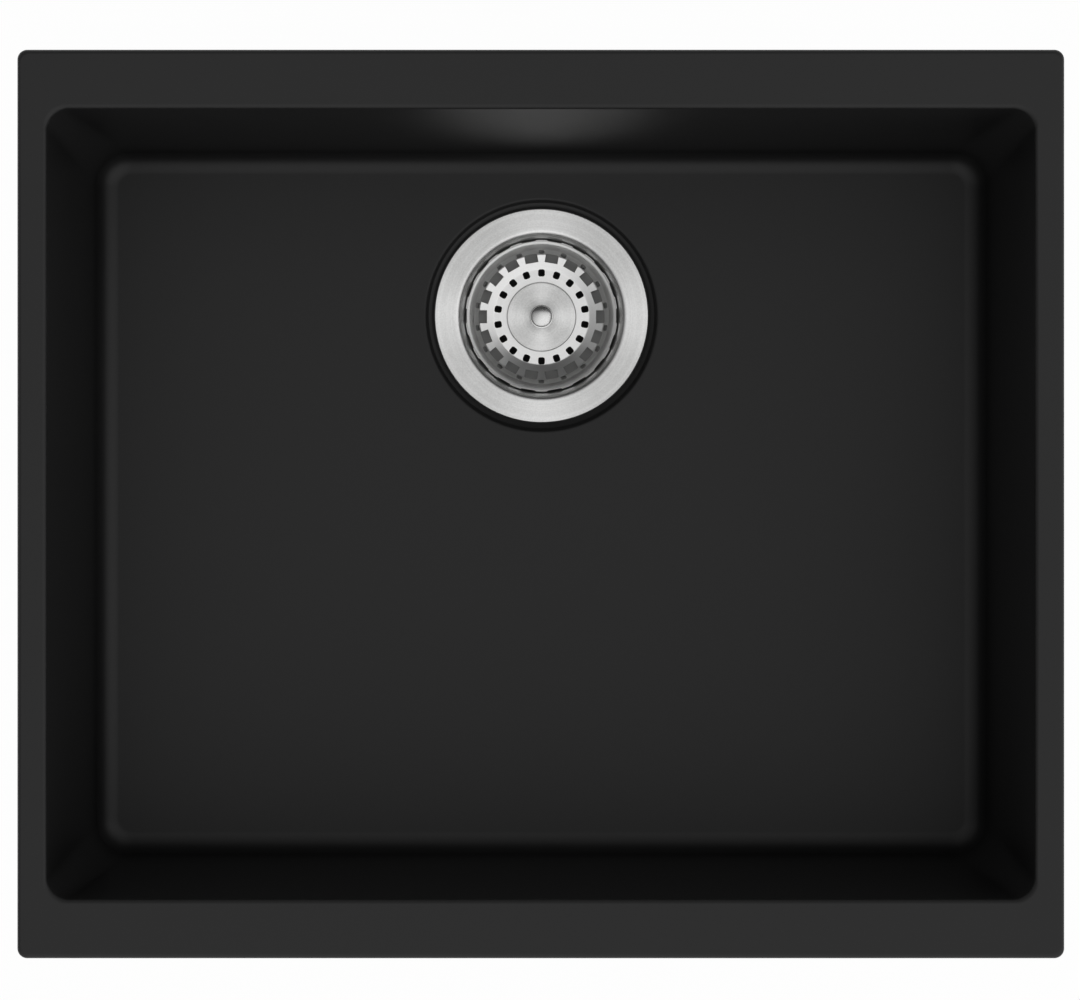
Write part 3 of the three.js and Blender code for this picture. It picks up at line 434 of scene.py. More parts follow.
class Finish(Nodes):
    """A surface finish round one Principled shader, with its even values given by socket."""

    def __init__(self, name, even):
        self.material = bpy.data.materials.new(name)
        self.material.use_nodes = True
        super().__init__(self.material.node_tree)
        self.shader = self.tree.nodes["Principled BSDF"]
        for socket, value in even.items():
            self.shader.inputs[socket].default_value = value

    def feed(self, socket, value):
        """Sends a changing value to one of the shader's sockets."""
        self.connect(value, self.shader.inputs[socket])

    def spot(self, centre=(0, 0, 0)):
        """Places on the piece, measured from a centre."""
        place = self.node("ShaderNodeTexCoord", output="Object")
        return self.node("ShaderNodeVectorMath", {"operation": "SUBTRACT"}, {0: place, 1: centre})

    def stretched(self, place, factors):
        """Places scaled along each axis, so that a pattern is drawn out."""
        return self.node("ShaderNodeVectorMath", {"operation": "MULTIPLY"}, {0: place, 1: factors})

    def noise(self, place, scale, detail, roughness=0.55):
        """Soft random variation from 0 to 1, `scale` blotches to the metre."""
        inputs = {"Vector": place, "Scale": scale, "Detail": detail, "Roughness": roughness}
        return self.node("ShaderNodeTexNoise", {}, inputs)

    def painted_spoke_highlight(self, flat):
        """Near 1 along four rays from the centre: a painted highlight of the brushing, in the
        colour.
        """
        parts = [self.node("ShaderNodeSeparateXYZ", {}, {0: flat}, axis) for axis in "XY"]
        turn = self.node("ShaderNodeMath", {"operation": "ARCTAN2"}, {0: parts[1], 1: parts[0]})
        wave = self.node("ShaderNodeMath", {"operation": "COSINE"}, {0: turn * 4})
        return (0.5 + 0.5 * wave) ** 1.5

    def between(self, share, first, second):
        """Goes from one colour to another as a share goes from 0 to 1."""
        ends = [value if isinstance(value, Measure) else (*value, 1) for value in (first, second)]
        mix = {0: share, 6: ends[0], 7: ends[1]}
        return self.node("ShaderNodeMix", {"data_type": "RGBA"}, mix, 2)

    def relief(self, height, depth, strength=1.0):
        """Fine relief: a height from 0 to 1 stands `depth` metres proud."""
        inputs = {"Height": height, "Distance": depth, "Strength": strength}
        self.feed("Normal", self.node("ShaderNodeBump", {}, inputs))


def dress(piece, finish, body, slot, *nodes):
    """Gives a piece its finish and its body, and hides the solids that it stands for. The slot is
    not used.
    """
    piece.data.materials.clear()
    piece.data.materials.append(finish.material)
    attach(piece, body)
    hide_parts(*nodes)


def composite_finish():
    """Matt black composite: near-black grains with a little sheen and a fine pebbled skin."""
    finish = Finish("black_composite", {"Specular IOR Level": 0.32})
    place = finish.spot()
    grain = finish.noise(place, 1500, 4, 0.7)
    cloud = finish.noise(place, 9, 2)
    fleck = finish.node("ShaderNodeTexVoronoi", {}, {"Vector": place, "Scale": 900}, "Distance")
    bright_fleck = finish.node("ShaderNodeValToRGB", {"stops": [(0.05, 1), (0.16, 0)]}, {0: fleck})
    shade = grain * 0.75 + cloud * 0.25
    colour = finish.between(shade, (0.0048, 0.0048, 0.0049), (0.0092, 0.0092, 0.0093))
    finish.feed("Base Color", colour)
    finish.feed("Roughness", 0.39 + grain * 0.08 + cloud * 0.03)
    finish.relief(grain * 0.8 + bright_fleck * 0.2, 0.03 * MM, 0.6)
    return finish


COMPOSITE = composite_finish()
dress(bowl, COMPOSITE, "sink", "black_composite", "sink_bowl")

# ---------------------------------------------------------------- flange gasket
# A flat ring of black closed-cell foam. It lies in the recess, and the strainer's flange is
# pulled down on it.

DRAIN = (0, DRAIN_Y)


def heights(box):
    """The heights of a solid's foot and top, in millimetres."""
    low, high = box
    return low.z / MM, high.z / MM


def flat_ring(name, node, inner, edge, steps=96):
    """A flat ring with rounded edges, as wide and high as its solid."""
    box = low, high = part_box(node)
    outer = (high.x - low.x) / 2 / MM
    foot, top = heights(box)
    outline = [
        *arc(inner + edge, foot + edge, edge, 180, 270, 3),
        *arc(outer - edge, foot + edge, edge, 270, 360, 3),
        *arc(outer - edge, top - edge, edge, 0, 90, 3),
        *arc(inner + edge, top - edge, edge, 90, 180, 3),
    ]
    return finish_shape(turned(name, outline, steps, centre_of(box)))


def foam_finish():
    """Black foam with fine closed cells."""
    finish = Finish("foam", {"Specular IOR Level": 0.2})
    place = finish.spot()
    cells = finish.node("ShaderNodeTexVoronoi", {}, {"Vector": place, "Scale": 1800}, "Distance")
    shade = finish.noise(place, 300, 3)
    finish.feed("Base Color", finish.between(shade, (0.009, 0.009, 0.009), (0.016, 0.016, 0.016)))
    finish.feed("Roughness", 0.85 + shade * 0.1)
    finish.relief(cells, 0.15 * MM)
    return finish


foam_ring = flat_ring("foam_ring", "flange_gasket", inner=47.5, edge=0.5)
dress(foam_ring, foam_finish(), "sink", "foam_rubber", "flange_gasket")

# ---------------------------------------------------------------- strainer body
# A pressed stainless cup. Its brushed flange lies on the foam ring in the recess, its side is
# threaded for the lock nut and its outlet for the coupling nut, and a crossbar guides the stem.

FLANGE_TOP = flange_high.z / MM
FLANGE_UNDER = FLANGE_TOP - 1.8
LEDGE = FLANGE_TOP - 7  # a step inside the mouth
SEAT = FLANGE_TOP - 42  # the cup's floor
OUTLET_END = SEAT - 28
FLANGE, MOUTH, CUP, SLEEVE = 57, 42.8, 40.9, 44  # radii
OUTLET_BORE, OUTLET = 19.8, 22.4
THREAD_PITCH = 2.0


def thread(radius, start, end, pitch, depth=0.7):
    """Outline of a thread's crests and roots from one height to another."""
    turns = round(abs(start - end) / pitch)
    step = (start - end) / turns
    points = []
    for turn in range(turns):
        z = start - turn * step
        points += [
            (radius - depth, z),
            (radius, z - 0.35 * step),
            (radius, z - 0.55 * step),
            (radius - depth, z - 0.9 * step),
        ]
    return points


body_outline = [
    (SLEEVE + 2, FLANGE_UNDER),
    (FLANGE - 0.3, FLANGE_UNDER),
    *arc(FLANGE - 0.5, FLANGE_TOP - 0.5, 0.5, 0, 90, 5),
    (47.5, FLANGE_TOP),
    *arc(MOUTH + 3, FLANGE_TOP - 3, 3, 90, 180, 12),
    *arc(MOUTH - 0.6, LEDGE + 3.7, 0.6, 0, -60, 3),
    *arc(CUP + 0.9, LEDGE + 0.4, 0.6, 150, 180, 2),
    (CUP, SEAT + 8),
    *arc(CUP - 6.7, SEAT + 6.7, 6.7, 0, -90, 10),
    (OUTLET_BORE + 0.6, SEAT),
    *arc(OUTLET_BORE + 0.6, SEAT - 0.6, 0.6, 90, 180, 3),
    (OUTLET_BORE, OUTLET_END),
    (OUTLET - 0.4, OUTLET_END),
    *thread(OUTLET, OUTLET_END + 0.2, SEAT - 6.5, THREAD_PITCH),
    (OUTLET, SEAT - 4),
    *arc(OUTLET + 2, SEAT - 4, 2, 180, 90, 4),
    (32, SEAT - 2),
    *arc(32.5, SEAT + 8.5, 10.5, -90, -15, 8),
    (SLEEVE - 0.8, SEAT + 6),
    *thread(SLEEVE, SEAT + 6.2, FLANGE_UNDER - 3.5, THREAD_PITCH),
    (SLEEVE, FLANGE_UNDER - 2),
    *arc(SLEEVE + 2, FLANGE_UNDER - 2, 2, 180, 90, 4),
]
strainer_body = turned("strainer_cup", body_outline, 144, DRAIN)


def block(name, low, high, corner, along=2, steps=4):
    """A block between two corners in millimetres, its edges along one axis rounded."""
    size = [(end - start) * MM for start, end in zip(low, high)]
    middle = [(end + start) / 2 * MM for start, end in zip(low, high)]
    put_down()
    bpy.ops.mesh.primitive_cube_add(size=1, location=middle, scale=size)
    piece = begin(name)
    pick("EDGE", lambda edge: abs(edge.verts[0].co[along] - edge.verts[1].co[along]) > MM / 10)
    bpy.ops.mesh.bevel(offset=corner * MM, segments=steps, profile=0.5)
    bpy.ops.mesh.select_all(action="SELECT")
    bpy.ops.mesh.remove_doubles(threshold=WELD)
    return piece


# The crossbar in the outlet: four arms and a drilled hub.
drain_y = DRAIN_Y / MM
hub_top = SEAT - 6
HUB, HUB_HEIGHT = 6, 6
STEM_FIT = 3.3  # radius of the holes for the stem
ARM_REACH, ARM_HALF_WIDTH = 20.75, 1.5
for reach_x, reach_y in ((ARM_REACH, ARM_HALF_WIDTH), (ARM_HALF_WIDTH, ARM_REACH)):
    arm_low = (-reach_x, drain_y - reach_y, hub_top - 5)
    arm_high = (reach_x, drain_y + reach_y, hub_top - 1)
    along = 0 if reach_x > reach_y else 1
    carve(strainer_body, block("crossbar_arm", arm_low, arm_high, 0.5, along), "UNION")
hub = [
    (0, hub_top),
    (HUB - 0.6, hub_top),
    (HUB, hub_top - 0.6),
    (HUB, hub_top - HUB_HEIGHT + 0.6),
    (HUB - 0.6, hub_top - HUB_HEIGHT),
    (0, hub_top - HUB_HEIGHT),
]
carve(strainer_body, turned("hub_tool", hub, 32, DRAIN), "UNION")
drill(strainer_body, STEM_FIT, hub_top - HUB_HEIGHT - 1, hub_top + 1, DRAIN)
finish_shape(strainer_body, 25)


def steel_finish(
    name, groove, roughness, brushed_with_painted_spokes=0.0, dull_and_shaded_below=None, satin_beyond=None, tone=0.66
):
    """Stainless steel with a fine grain, polished or brushed round the drain's axis; brushed steel
    has a painted highlight in four rays. Below a height it is dull, as drawn, and darker with
    painted shade; beyond a radius it is satin."""
    across = {"Anisotropic": brushed_with_painted_spokes, "Anisotropic Rotation": 0.25}
    finish = Finish(name, {"Metallic": 1.0, **across})
    place = finish.spot((0, DRAIN_Y, 0))
    flat = finish.stretched(place, (1, 1, 0))
    radius = finish.node("ShaderNodeVectorMath", {"operation": "LENGTH"}, {0: flat}, "Value")
    height = finish.node("ShaderNodeSeparateXYZ", {}, {0: place}, "Z")
    line = finish.node("ShaderNodeCombineXYZ", {}, {0: radius, 1: height * 0.6, 2: 0.0})
    marks = finish.noise(line, 3600, 2, 0.6)
    wide_marks = finish.noise(line, 900, 2, 0.5)
    grain = finish.noise(place, 1300, 3, 0.7)
    cloud = finish.noise(place, 60, 3)
    shade = wide_marks * 0.3 + grain * 0.5 + cloud * 0.2
    spread = 0.10
    # Brushed steel gets a painted highlight along four rays in its colour, and a wider spread of
    # tone.
    if brushed_with_painted_spokes:
        shade = shade + finish.painted_spoke_highlight(flat) * 0.25 - 0.18
        spread = 0.30
    dark, light = tone - spread, tone + spread
    colour = finish.between(shade, (dark, dark, dark - 0.005), (light, light, light - 0.005))
    polish = roughness - 0.05 + marks * 0.05 + cloud * 0.05
    # Below the height the colour turns a flat darker grey, painted shade deep in the cup, and the
    # finish grows rougher.
    if dull_and_shaded_below is not None:
        dull_and_shaded = finish.step(height, dull_and_shaded_below * MM, (dull_and_shaded_below - 2) * MM)
        colour = finish.between(dull_and_shaded, colour, (0.36, 0.36, 0.355))
        polish = polish + dull_and_shaded * 0.15
    if satin_beyond is not None:
        polish = polish + finish.step(radius, satin_beyond * MM, (satin_beyond + 1) * MM) * 0.15
    finish.feed("Base Color", colour)
    finish.feed("Roughness", polish)
    finish.relief(marks * 0.5 + wide_marks * 0.25 + grain * 0.25, groove * MM)
    return finish


# The flange's colour has a painted highlight along four rays, and painted shade below the ledge.
FLANGE_STEEL = steel_finish("flange_steel", 0.02, 0.30, brushed_with_painted_spokes=0.65, dull_and_shaded_below=LEDGE)
dress(strainer_body, FLANGE_STEEL, "sink", "brushed_steel", "strainer_body")

# ---------------------------------------------------------------- seal and washer under the floor
# A soft black rubber ring seals the underside of the floor round the sleeve. A ring of hard red-
# brown fibre below it lets the lock nut turn without dragging the rubber.


def rubber_finish():
    """Moulded black rubber, matt, with a faint bloom."""
    finish = Finish("rubber", {"Specular IOR Level": 0.35})
    place = finish.spot()
    bloom = finish.noise(place, 90, 3)
    skin = finish.noise(place, 2400, 2)
    finish.feed("Base Color", finish.between(bloom, (0.014, 0.014, 0.014), (0.026, 0.026, 0.026)))
    finish.feed("Roughness", 0.50 + bloom * 0.16)
    finish.relief(skin, 0.02 * MM)
    return finish


def fibre_finish():
    """Pressed red-brown fibre with short strands lying both ways."""
    finish = Finish("fibre", {"Specular IOR Level": 0.3})
    place = finish.spot()
    across = finish.noise(finish.stretched(place, (0.12, 1, 1)), 2200, 3)
    along = finish.noise(finish.stretched(place, (1, 0.12, 1)), 2200, 3)
    strands = finish.larger(across, along)
    finish.feed("Base Color", finish.between(strands, (0.22, 0.13, 0.07), (0.46, 0.34, 0.20)))
    finish.feed("Roughness", 0.60 + strands * 0.2)
    finish.relief(strands, 0.05 * MM)
    return finish


RUBBER = rubber_finish()
SLEEVE_FIT = 44.3  # radius that clears the sleeve's thread
rubber_ring = flat_ring("rubber_ring", "sink_gasket", SLEEVE_FIT, edge=0.9)
dress(rubber_ring, RUBBER, "sink", "black_rubber", "sink_gasket")
fibre_ring = flat_ring("fibre_ring", "friction_washer", SLEEVE_FIT, edge=0.2)
dress(fibre_ring, fibre_finish(), "sink", "fibre", "friction_washer")

# ---------------------------------------------------------------- lock nut
# A die-cast zinc ring on the sleeve's thread. Its collar clamps the strainer to the floor, and
# six lugs take a spanner or a screwdriver's edge.

nut_foot, nut_top = heights(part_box("lock_nut"))
NUT, COLLAR, LUG_REACH = 51, 55, 56  # radii
COLLAR_HEIGHT = 3
LUG_WIDTH = 11
collar_foot = nut_top - COLLAR_HEIGHT
nut_outline = [
    *arc(SLEEVE_FIT + 0.6, nut_foot + 0.6, 0.6, 180, 270, 3),
    *arc(NUT - 0.8, nut_foot + 0.8, 0.8, 270, 360, 4),
    *arc(NUT + 1, collar_foot - 1, 1, 180, 90, 4),
    *arc(COLLAR - 0.7, collar_foot + 0.7, 0.7, 270, 360, 3),
    *arc(COLLAR - 0.7, nut_top - 0.7, 0.7, 0, 90, 3),
    *arc(SLEEVE_FIT + 0.6, nut_top - 0.6, 0.6, 90, 180, 3),
]
lock_nut = turned("cast_lock_nut", nut_outline, 120, DRAIN)


def ring_of(count, first_angle=0):
    """Repeats the piece in hand round the drain's axis."""
    axis = (0, DRAIN_Y, 0)
    turn = math.tau / count
    bpy.ops.mesh.select_all(action="SELECT")
    bpy.ops.mesh.spin(
        steps=count - 1, dupli=True, angle=turn * (count - 1), center=axis, axis=(0, 0, 1)
    )
    bpy.ops.mesh.select_all(action="SELECT")
    start = math.radians(first_angle)
    bpy.ops.transform.rotate(value=-start, orient_axis="Z", center_override=axis)
    return bpy.context.object


def grips(radius, reach, width, foot, top, corner, count):
    """A ring of blocks that stand out of a nut, rounded all over."""
    low = (radius, drain_y - width / 2, foot)
    high = (reach, drain_y + width / 2, top)
    block("grip", low, high, corner)
    for level in (top, foot):
        pick("EDGE", level_loop(level * MM))
        bpy.ops.mesh.bevel(offset=corner / 2 * MM, segments=3, profile=0.5)
    return ring_of(count)


lug_top = nut_top - COLLAR_HEIGHT / 2
carve(lock_nut, grips(49, LUG_REACH, LUG_WIDTH, nut_foot, lug_top, corner=1.6, count=6), "UNION")
finish_shape(lock_nut, 35)


def cast_zinc_finish():
    """Raw die-cast zinc: dull grey metal with a pebbled skin and darker flow marks."""
    finish = Finish("cast_zinc", {"Metallic": 0.9})
    place = finish.spot()
    pebbles = finish.noise(place, 1400, 3)
    flow = finish.noise(finish.stretched(place, (1, 1, 3)), 55, 4)
    finish.feed("Base Color", finish.between(flow, (0.34, 0.35, 0.36), (0.50, 0.51, 0.52)))
    finish.feed("Roughness", 0.42 + pebbles * 0.12 + flow * 0.06)
    finish.relief(pebbles, 0.06 * MM)
    return finish


dress(lock_nut, cast_zinc_finish(), "sink", "cast_zinc", "lock_nut")

# ---------------------------------------------------------------- tailpiece
# A thin polished tube that carries the water on to the waste pipe. Its flange and a white washer
# are pulled up to the outlet by the coupling nut.

tail_end, tail_top = heights(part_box("tailpiece"))
TUBE_INNER, TUBE_OUTER, TAIL_FLANGE = 17.85, 19.05, 22.4  # radii
tail_outline = [
    (TUBE_INNER, tail_end + 0.3),
    (TUBE_INNER + 0.3, tail_end),
    (TUBE_OUTER - 0.3, tail_end),
    (TUBE_OUTER, tail_end + 0.3),
    *arc(TUBE_OUTER + 0.6, tail_top - 2.1, 0.6, 180, 90, 3),
    *arc(TAIL_FLANGE - 0.75, tail_top - 0.75, 0.75, 270, 450, 6),
    *arc(TUBE_INNER + 1, tail_top - 1, 1, 90, 180, 4),
]
tail_tube = finish_shape(turned("tail_tube", tail_outline, 96, DRAIN))
PRESSED_STEEL = steel_finish("pressed_steel", 0.005, 0.19)
dress(tail_tube, PRESSED_STEEL, "sink", "polished_steel", "tailpiece")


def white_plastic_finish():
    """Moulded off-white plastic, slightly uneven and satin."""
    finish = Finish("white_plastic", {"Specular IOR Level": 0.45})
    place = finish.spot()
    tone = finish.noise(place, 40, 3)
    skin = finish.noise(place, 1800, 2)
    finish.feed("Base Color", finish.between(tone, (0.72, 0.71, 0.68), (0.82, 0.81, 0.78)))
    finish.feed("Roughness", 0.34 + skin * 0.1 + tone * 0.04)
    finish.relief(skin, 0.02 * MM)
    return finish


WHITE_PLASTIC = white_plastic_finish()
tail_seal = flat_ring("tail_seal", "tail_washer", TUBE_INNER, 0.5)
dress(tail_seal, WHITE_PLASTIC, "sink", "white_plastic", "tail_washer")

# ---------------------------------------------------------------- coupling nut
# A white plastic nut that screws on to the outlet by hand. Eight ribs give it grip, and its lip
# carries the tailpiece's flange.

coupling_foot, coupling_top = heights(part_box("coupling_nut"))
lip_top = coupling_foot + 3
TUBE_FIT, OUTLET_FIT, COUPLING, RIB_REACH = 19.35, 22.7, 28, 30.5  # radii
RIB_WIDTH = 6
coupling_outline = [
    (TUBE_FIT + 0.4, coupling_foot),
    *arc(COUPLING - 2, coupling_foot + 2, 2, 270, 360, 5),
    *arc(COUPLING - 0.7, coupling_top - 0.7, 0.7, 0, 90, 3),
    (OUTLET_FIT + 0.5, coupling_top),
    (OUTLET_FIT, coupling_top - 0.5),
    (OUTLET_FIT, lip_top),
    (TUBE_FIT, lip_top),
    (TUBE_FIT, coupling_foot + 0.4),
]
coupling = turned("coupling_ring", coupling_outline, 120, DRAIN)
ribs = grips(26, RIB_REACH, RIB_WIDTH, lip_top, coupling_top, corner=1.5, count=8)
carve(coupling, ribs, "UNION")
finish_shape(coupling, 35)
dress(coupling, WHITE_PLASTIC, "sink", "white_plastic", "coupling_nut")

# ---------------------------------------------------------------- basket
# Thin stainless sheet, pressed to a cup with a sloping shoulder and a turned-out rim. Eighteen
# slots, windows, small holes and notches in the rim are pierced round it. It turns on the stem.

BASKET_UNDER, BASKET_RIM = heights(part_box("basket_cup"))
SHEET = 0.8  # thickness
BASKET_FLOOR = BASKET_UNDER + 0.9
ROW = 18
SHOULDER_FOOT, SHOULDER_TOP = 25.6, 33.4  # radii
SHOULDER_RISE = 3.0
WALL_FOOT = BASKET_FLOOR + SHOULDER_RISE


def pressed_sheet(upper, thickness):
    """The closed outline of a sheet from its upper face, a thickness away all round."""
    slopes = [math.atan2(z1 - z0, r1 - r0) for (r0, z0), (r1, z1) in zip(upper, upper[1:])]
    lower = []
    for (r, z), before, after in zip(upper, [slopes[0], *slopes], [*slopes, slopes[-1]]):
        under = (before + after - math.pi) / 2
        away = thickness / math.cos((after - before) / 2)
        lower.append((r + away * math.cos(under), z + away * math.sin(under)))
    return [*upper, *reversed(lower)]


floor_start = (STEM_FIT, BASKET_FLOOR)
shoulder_foot = (SHOULDER_FOOT, BASKET_FLOOR)
wall_foot = (SHOULDER_TOP, WALL_FOOT)
wall_knee = (36.3, WALL_FOOT + 4.0)  # the wall leans out more below it
rim_flare = (37.9, BASKET_RIM - 0.65)
rim_fold = (39.5, BASKET_RIM)
rim_edge = (40.5, BASKET_RIM - 0.7)
upper_face = [
    floor_start,
    *bend(shoulder_foot, floor_start, wall_foot, 2.5),
    *bend(wall_foot, shoulder_foot, wall_knee, 0.9),
    *bend(wall_knee, wall_foot, rim_flare, 1.2),
    *bend(rim_flare, wall_knee, rim_fold, 1.2, 5),
    rim_fold,
    rim_edge,
]
basket = turned("basket_sheet", pressed_sheet(upper_face, SHEET), 216, DRAIN)


def punch(low, high, width, corner, first_angle, along, dip=0):
    """A ring of punches, from an inner radius and height to an outer one, their outer ends dipping
    by an angle."""
    (r0, z0), (r1, z1) = low, high
    block("punch", (r0, drain_y - width / 2, z0), (r1, drain_y + width / 2, z1), corner, along)
    middle = ((r0 + r1) / 2 * MM, DRAIN_Y, (z0 + z1) / 2 * MM)
    bpy.ops.mesh.select_all(action="SELECT")
    bpy.ops.transform.rotate(value=-math.radians(dip), orient_axis="Y", center_override=middle)
    return ring_of(ROW, first_angle)


IN_LINE, BETWEEN = 90, 90 + 180 / ROW  # the angle of a row's first punch
UPRIGHT, SIDEWAYS = 2, 0  # the axis that a punch goes along
WALL_DIP = 35  # square to the lower wall
slots = (21.7, BASKET_UNDER - 1), (25.6, BASKET_FLOOR + 1), 3.6, 1.1, IN_LINE, UPRIGHT
windows = (29.3, BASKET_UNDER - 1), (42, WALL_FOOT + 0.6), 7.0, 0.8, BETWEEN, SIDEWAYS
holes = (31.6, WALL_FOOT + 0.4), (38.1, WALL_FOOT + 3.6), 3.2, 1.0, IN_LINE, SIDEWAYS, WALL_DIP
notches = (39.9, BASKET_RIM - 4), (42, BASKET_RIM + 1), 8, 0.5, BETWEEN, UPRIGHT
for row in (slots, windows, holes, notches):
    carve(basket, punch(*row))
finish_shape(basket, 30)
BASKET_STEEL = steel_finish("basket_steel", 0.005, 0.30, satin_beyond=SHOULDER_TOP, tone=0.72)
dress(basket, BASKET_STEEL, "basket", "polished_steel", "basket_cup")

# ---------------------------------------------------------------- basket disc
# A turned and brushed steel disc, spun over at its edge. It lies on the middle of the basket's
# floor, round the stem, and turns with the basket.

disc_foot, disc_top = heights(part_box("basket_disc"))
DISC = 18.7  # radius
disc_outline = [
    (STEM_FIT, disc_foot),
    (DISC - 0.4, disc_foot),
    (DISC, disc_foot + 0.4),
    *arc(DISC - 0.8, disc_top - 0.8, 0.8, 0, 90, 6),
    (STEM_FIT, disc_top),
]
disc = finish_shape(turned("brushed_disc", disc_outline, 144, DRAIN), 25)
# The disc's colour has a painted highlight along four rays.
DISC_STEEL = steel_finish("disc_steel", 0.02, 0.30, brushed_with_painted_spokes=0.7)
dress(disc, DISC_STEEL, "basket", "brushed_steel", "basket_disc")

# ---------------------------------------------------------------- pull knob and stem
# One turned piece of polished steel. The knob lifts the plug, and the stem below it carries the
# basket and the stopper. A groove near the stem's end holds the catch.

stem_end, knob_top = heights(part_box("pull_knob"))
KNOB, NECK, FOOT, STEM, GROOVE = 5.8, 3.8, 6.4, 3, 2.1  # radii
knob_foot = knob_top - 14
catch_foot, catch_top = heights(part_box("stem_catch"))
groove_foot, groove_top = catch_foot - 0.2, catch_top + 0.2
DOME, DOME_EDGE = 12, 0.9  # radii of the knob's top and its rounded edge
dome_end = math.degrees(math.acos((KNOB - DOME_EDGE) / (DOME - DOME_EDGE)))
edge_z = knob_top - DOME + (DOME - DOME_EDGE) * math.sin(math.radians(dome_end))
knob_outline = [
    (0, knob_top),
    *arc(0, knob_top - DOME, DOME, 85, dome_end, 6),
    *arc(KNOB - DOME_EDGE, edge_z, DOME_EDGE, dome_end, 0, 6),
    *arc(KNOB - 0.6, knob_top - 4.8, 0.6, 0, -60, 4),
    (NECK, knob_top - 7),
    *arc(NECK + 1.6, knob_foot + 2.4, 1.6, 180, 270, 5),
    *arc(FOOT - 0.3, knob_foot + 0.3, 0.3, 90, 0, 3),
    (FOOT, knob_foot),
    (STEM, knob_foot),
    (STEM, groove_top),
    (GROOVE, groove_top),
    (GROOVE, groove_foot),
    (STEM, groove_foot),
    (STEM, stem_end + 0.5),
    (STEM - 0.5, stem_end),
    (0, stem_end),
]
knob = finish_shape(turned("turned_knob", knob_outline, 64, DRAIN))
dress(knob, steel_finish("knob_steel", 0.002, 0.26), "plug", "polished_steel", "pull_knob")

# ---------------------------------------------------------------- stopper
# What closes the drain: a rubber disc with a sealing lip under a steel plate. A plastic spacer
# above keeps it clear of the basket, and a brass nut and a split ring below hold it on the stem.

spacer = flat_ring("plastic_spacer", "stem_spacer", STEM_FIT, edge=0.4, steps=48)
dress(spacer, WHITE_PLASTIC, "plug", "white_plastic", "stem_spacer")
plate = flat_ring("pressed_plate", "stopper_plate", STEM_FIT, edge=0.3)
dress(plate, PRESSED_STEEL, "plug", "polished_steel", "stopper_plate")

seal_foot, seal_top = heights(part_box("stopper_seal"))
SEAL = 27  # radius
seal_outline = [
    (STEM_FIT, seal_foot),
    (SEAL - 1.2, seal_foot),
    *arc(SEAL - 1, seal_foot + 1, 1, -80, 80, 6),
    (SEAL - 2.4, seal_foot + 2.3),
    *arc(21, seal_top - 0.6, 0.6, 50, 90, 3),
    (STEM_FIT, seal_top),
]
seal = finish_shape(turned("rubber_seal", seal_outline, 96, DRAIN))
dress(seal, RUBBER, "plug", "black_rubber", "stopper_seal")

HEX = math.cos(math.radians(30))  # half the flats over half the corners


def hexagon(name, across_flats, foot, top, centre=DRAIN):
    """A six-sided block."""
    put_down()
    bpy.ops.mesh.primitive_cylinder_add(
        vertices=6,
        radius=across_flats / 2 / HEX * MM,
        depth=(top - foot) * MM,
        location=(*centre, (foot + top) / 2 * MM),
    )
    return begin(name)


def brass_finish():
    """Turned brass with fine rings from the tool and a little tarnish."""
    finish = Finish("turned_brass", {"Metallic": 1.0})
    place = finish.spot()
    rings = finish.noise(finish.stretched(place, (0.15, 0.15, 1)), 3000, 2)
    tarnish = finish.noise(place, 160, 3)
    finish.feed("Base Color", finish.between(tarnish, (0.66, 0.48, 0.21), (0.50, 0.35, 0.15)))
    finish.feed("Roughness", 0.20 + tarnish * 0.12 + rings * 0.06)
    finish.relief(rings, 0.01 * MM)
    return finish


BRASS = brass_finish()
hex_foot, hex_top = heights(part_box("stem_nut"))
FLATS = 10  # across the nut
stem_nut = hexagon("hexagon_nut", FLATS, hex_foot, hex_top)
corner_cut = [
    (0, hex_top),
    (FLATS / 2, hex_top),
    (FLATS / 2 + 0.8, hex_top - 0.5),
    (FLATS / 2 + 0.8, hex_foot + 0.5),
    (FLATS / 2, hex_foot),
    (0, hex_foot),
]
carve(stem_nut, turned("corner_tool", corner_cut, 48, DRAIN), "INTERSECT")
drill(stem_nut, STEM_FIT, hex_foot - 1, hex_top + 1, DRAIN)
finish_shape(stem_nut, 25)
dress(stem_nut, BRASS, "plug", "brass", "stem_nut")
catch = flat_ring("split_ring", "stem_catch", GROOVE + 0.2, edge=0.2, steps=48)
dress(catch, BRASS, "plug", "brass", "stem_catch")

# ---------------------------------------------------------------- clips
# Six zinc-plated clips under the front and back rims. Each swings on a screw and a washer, and
# the screw runs up into a brass insert in the moulding's boss.

CLIP_WIDTH, CLIP_REACH = 14, 40
clip_foot, clip_top = heights(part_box("clip_front_left"))
STRIP = 2.5  # thickness
SCREW_FIT = 3.2  # radius of the holes for the screw
strip_start, first_bend = (-CLIP_WIDTH / 2, clip_foot + STRIP), (9, clip_foot + STRIP)
second_bend, strip_end = (14, clip_top), (CLIP_REACH, clip_top)
upper_side = [
    strip_start,
    *bend(first_bend, strip_start, second_bend, 1.5),
    *bend(second_bend, first_bend, strip_end, 3.5),
    strip_end,
]


def stretch_block(name, start, end, width):
    """A tall block with a half circle at each end, to cut a clip's outline or slot."""
    low, high = (start, -width / 2, clip_foot - 5), (end, width / 2, clip_top + 5)
    return block(name, low, high, width / 2 - 0.005, steps=10)


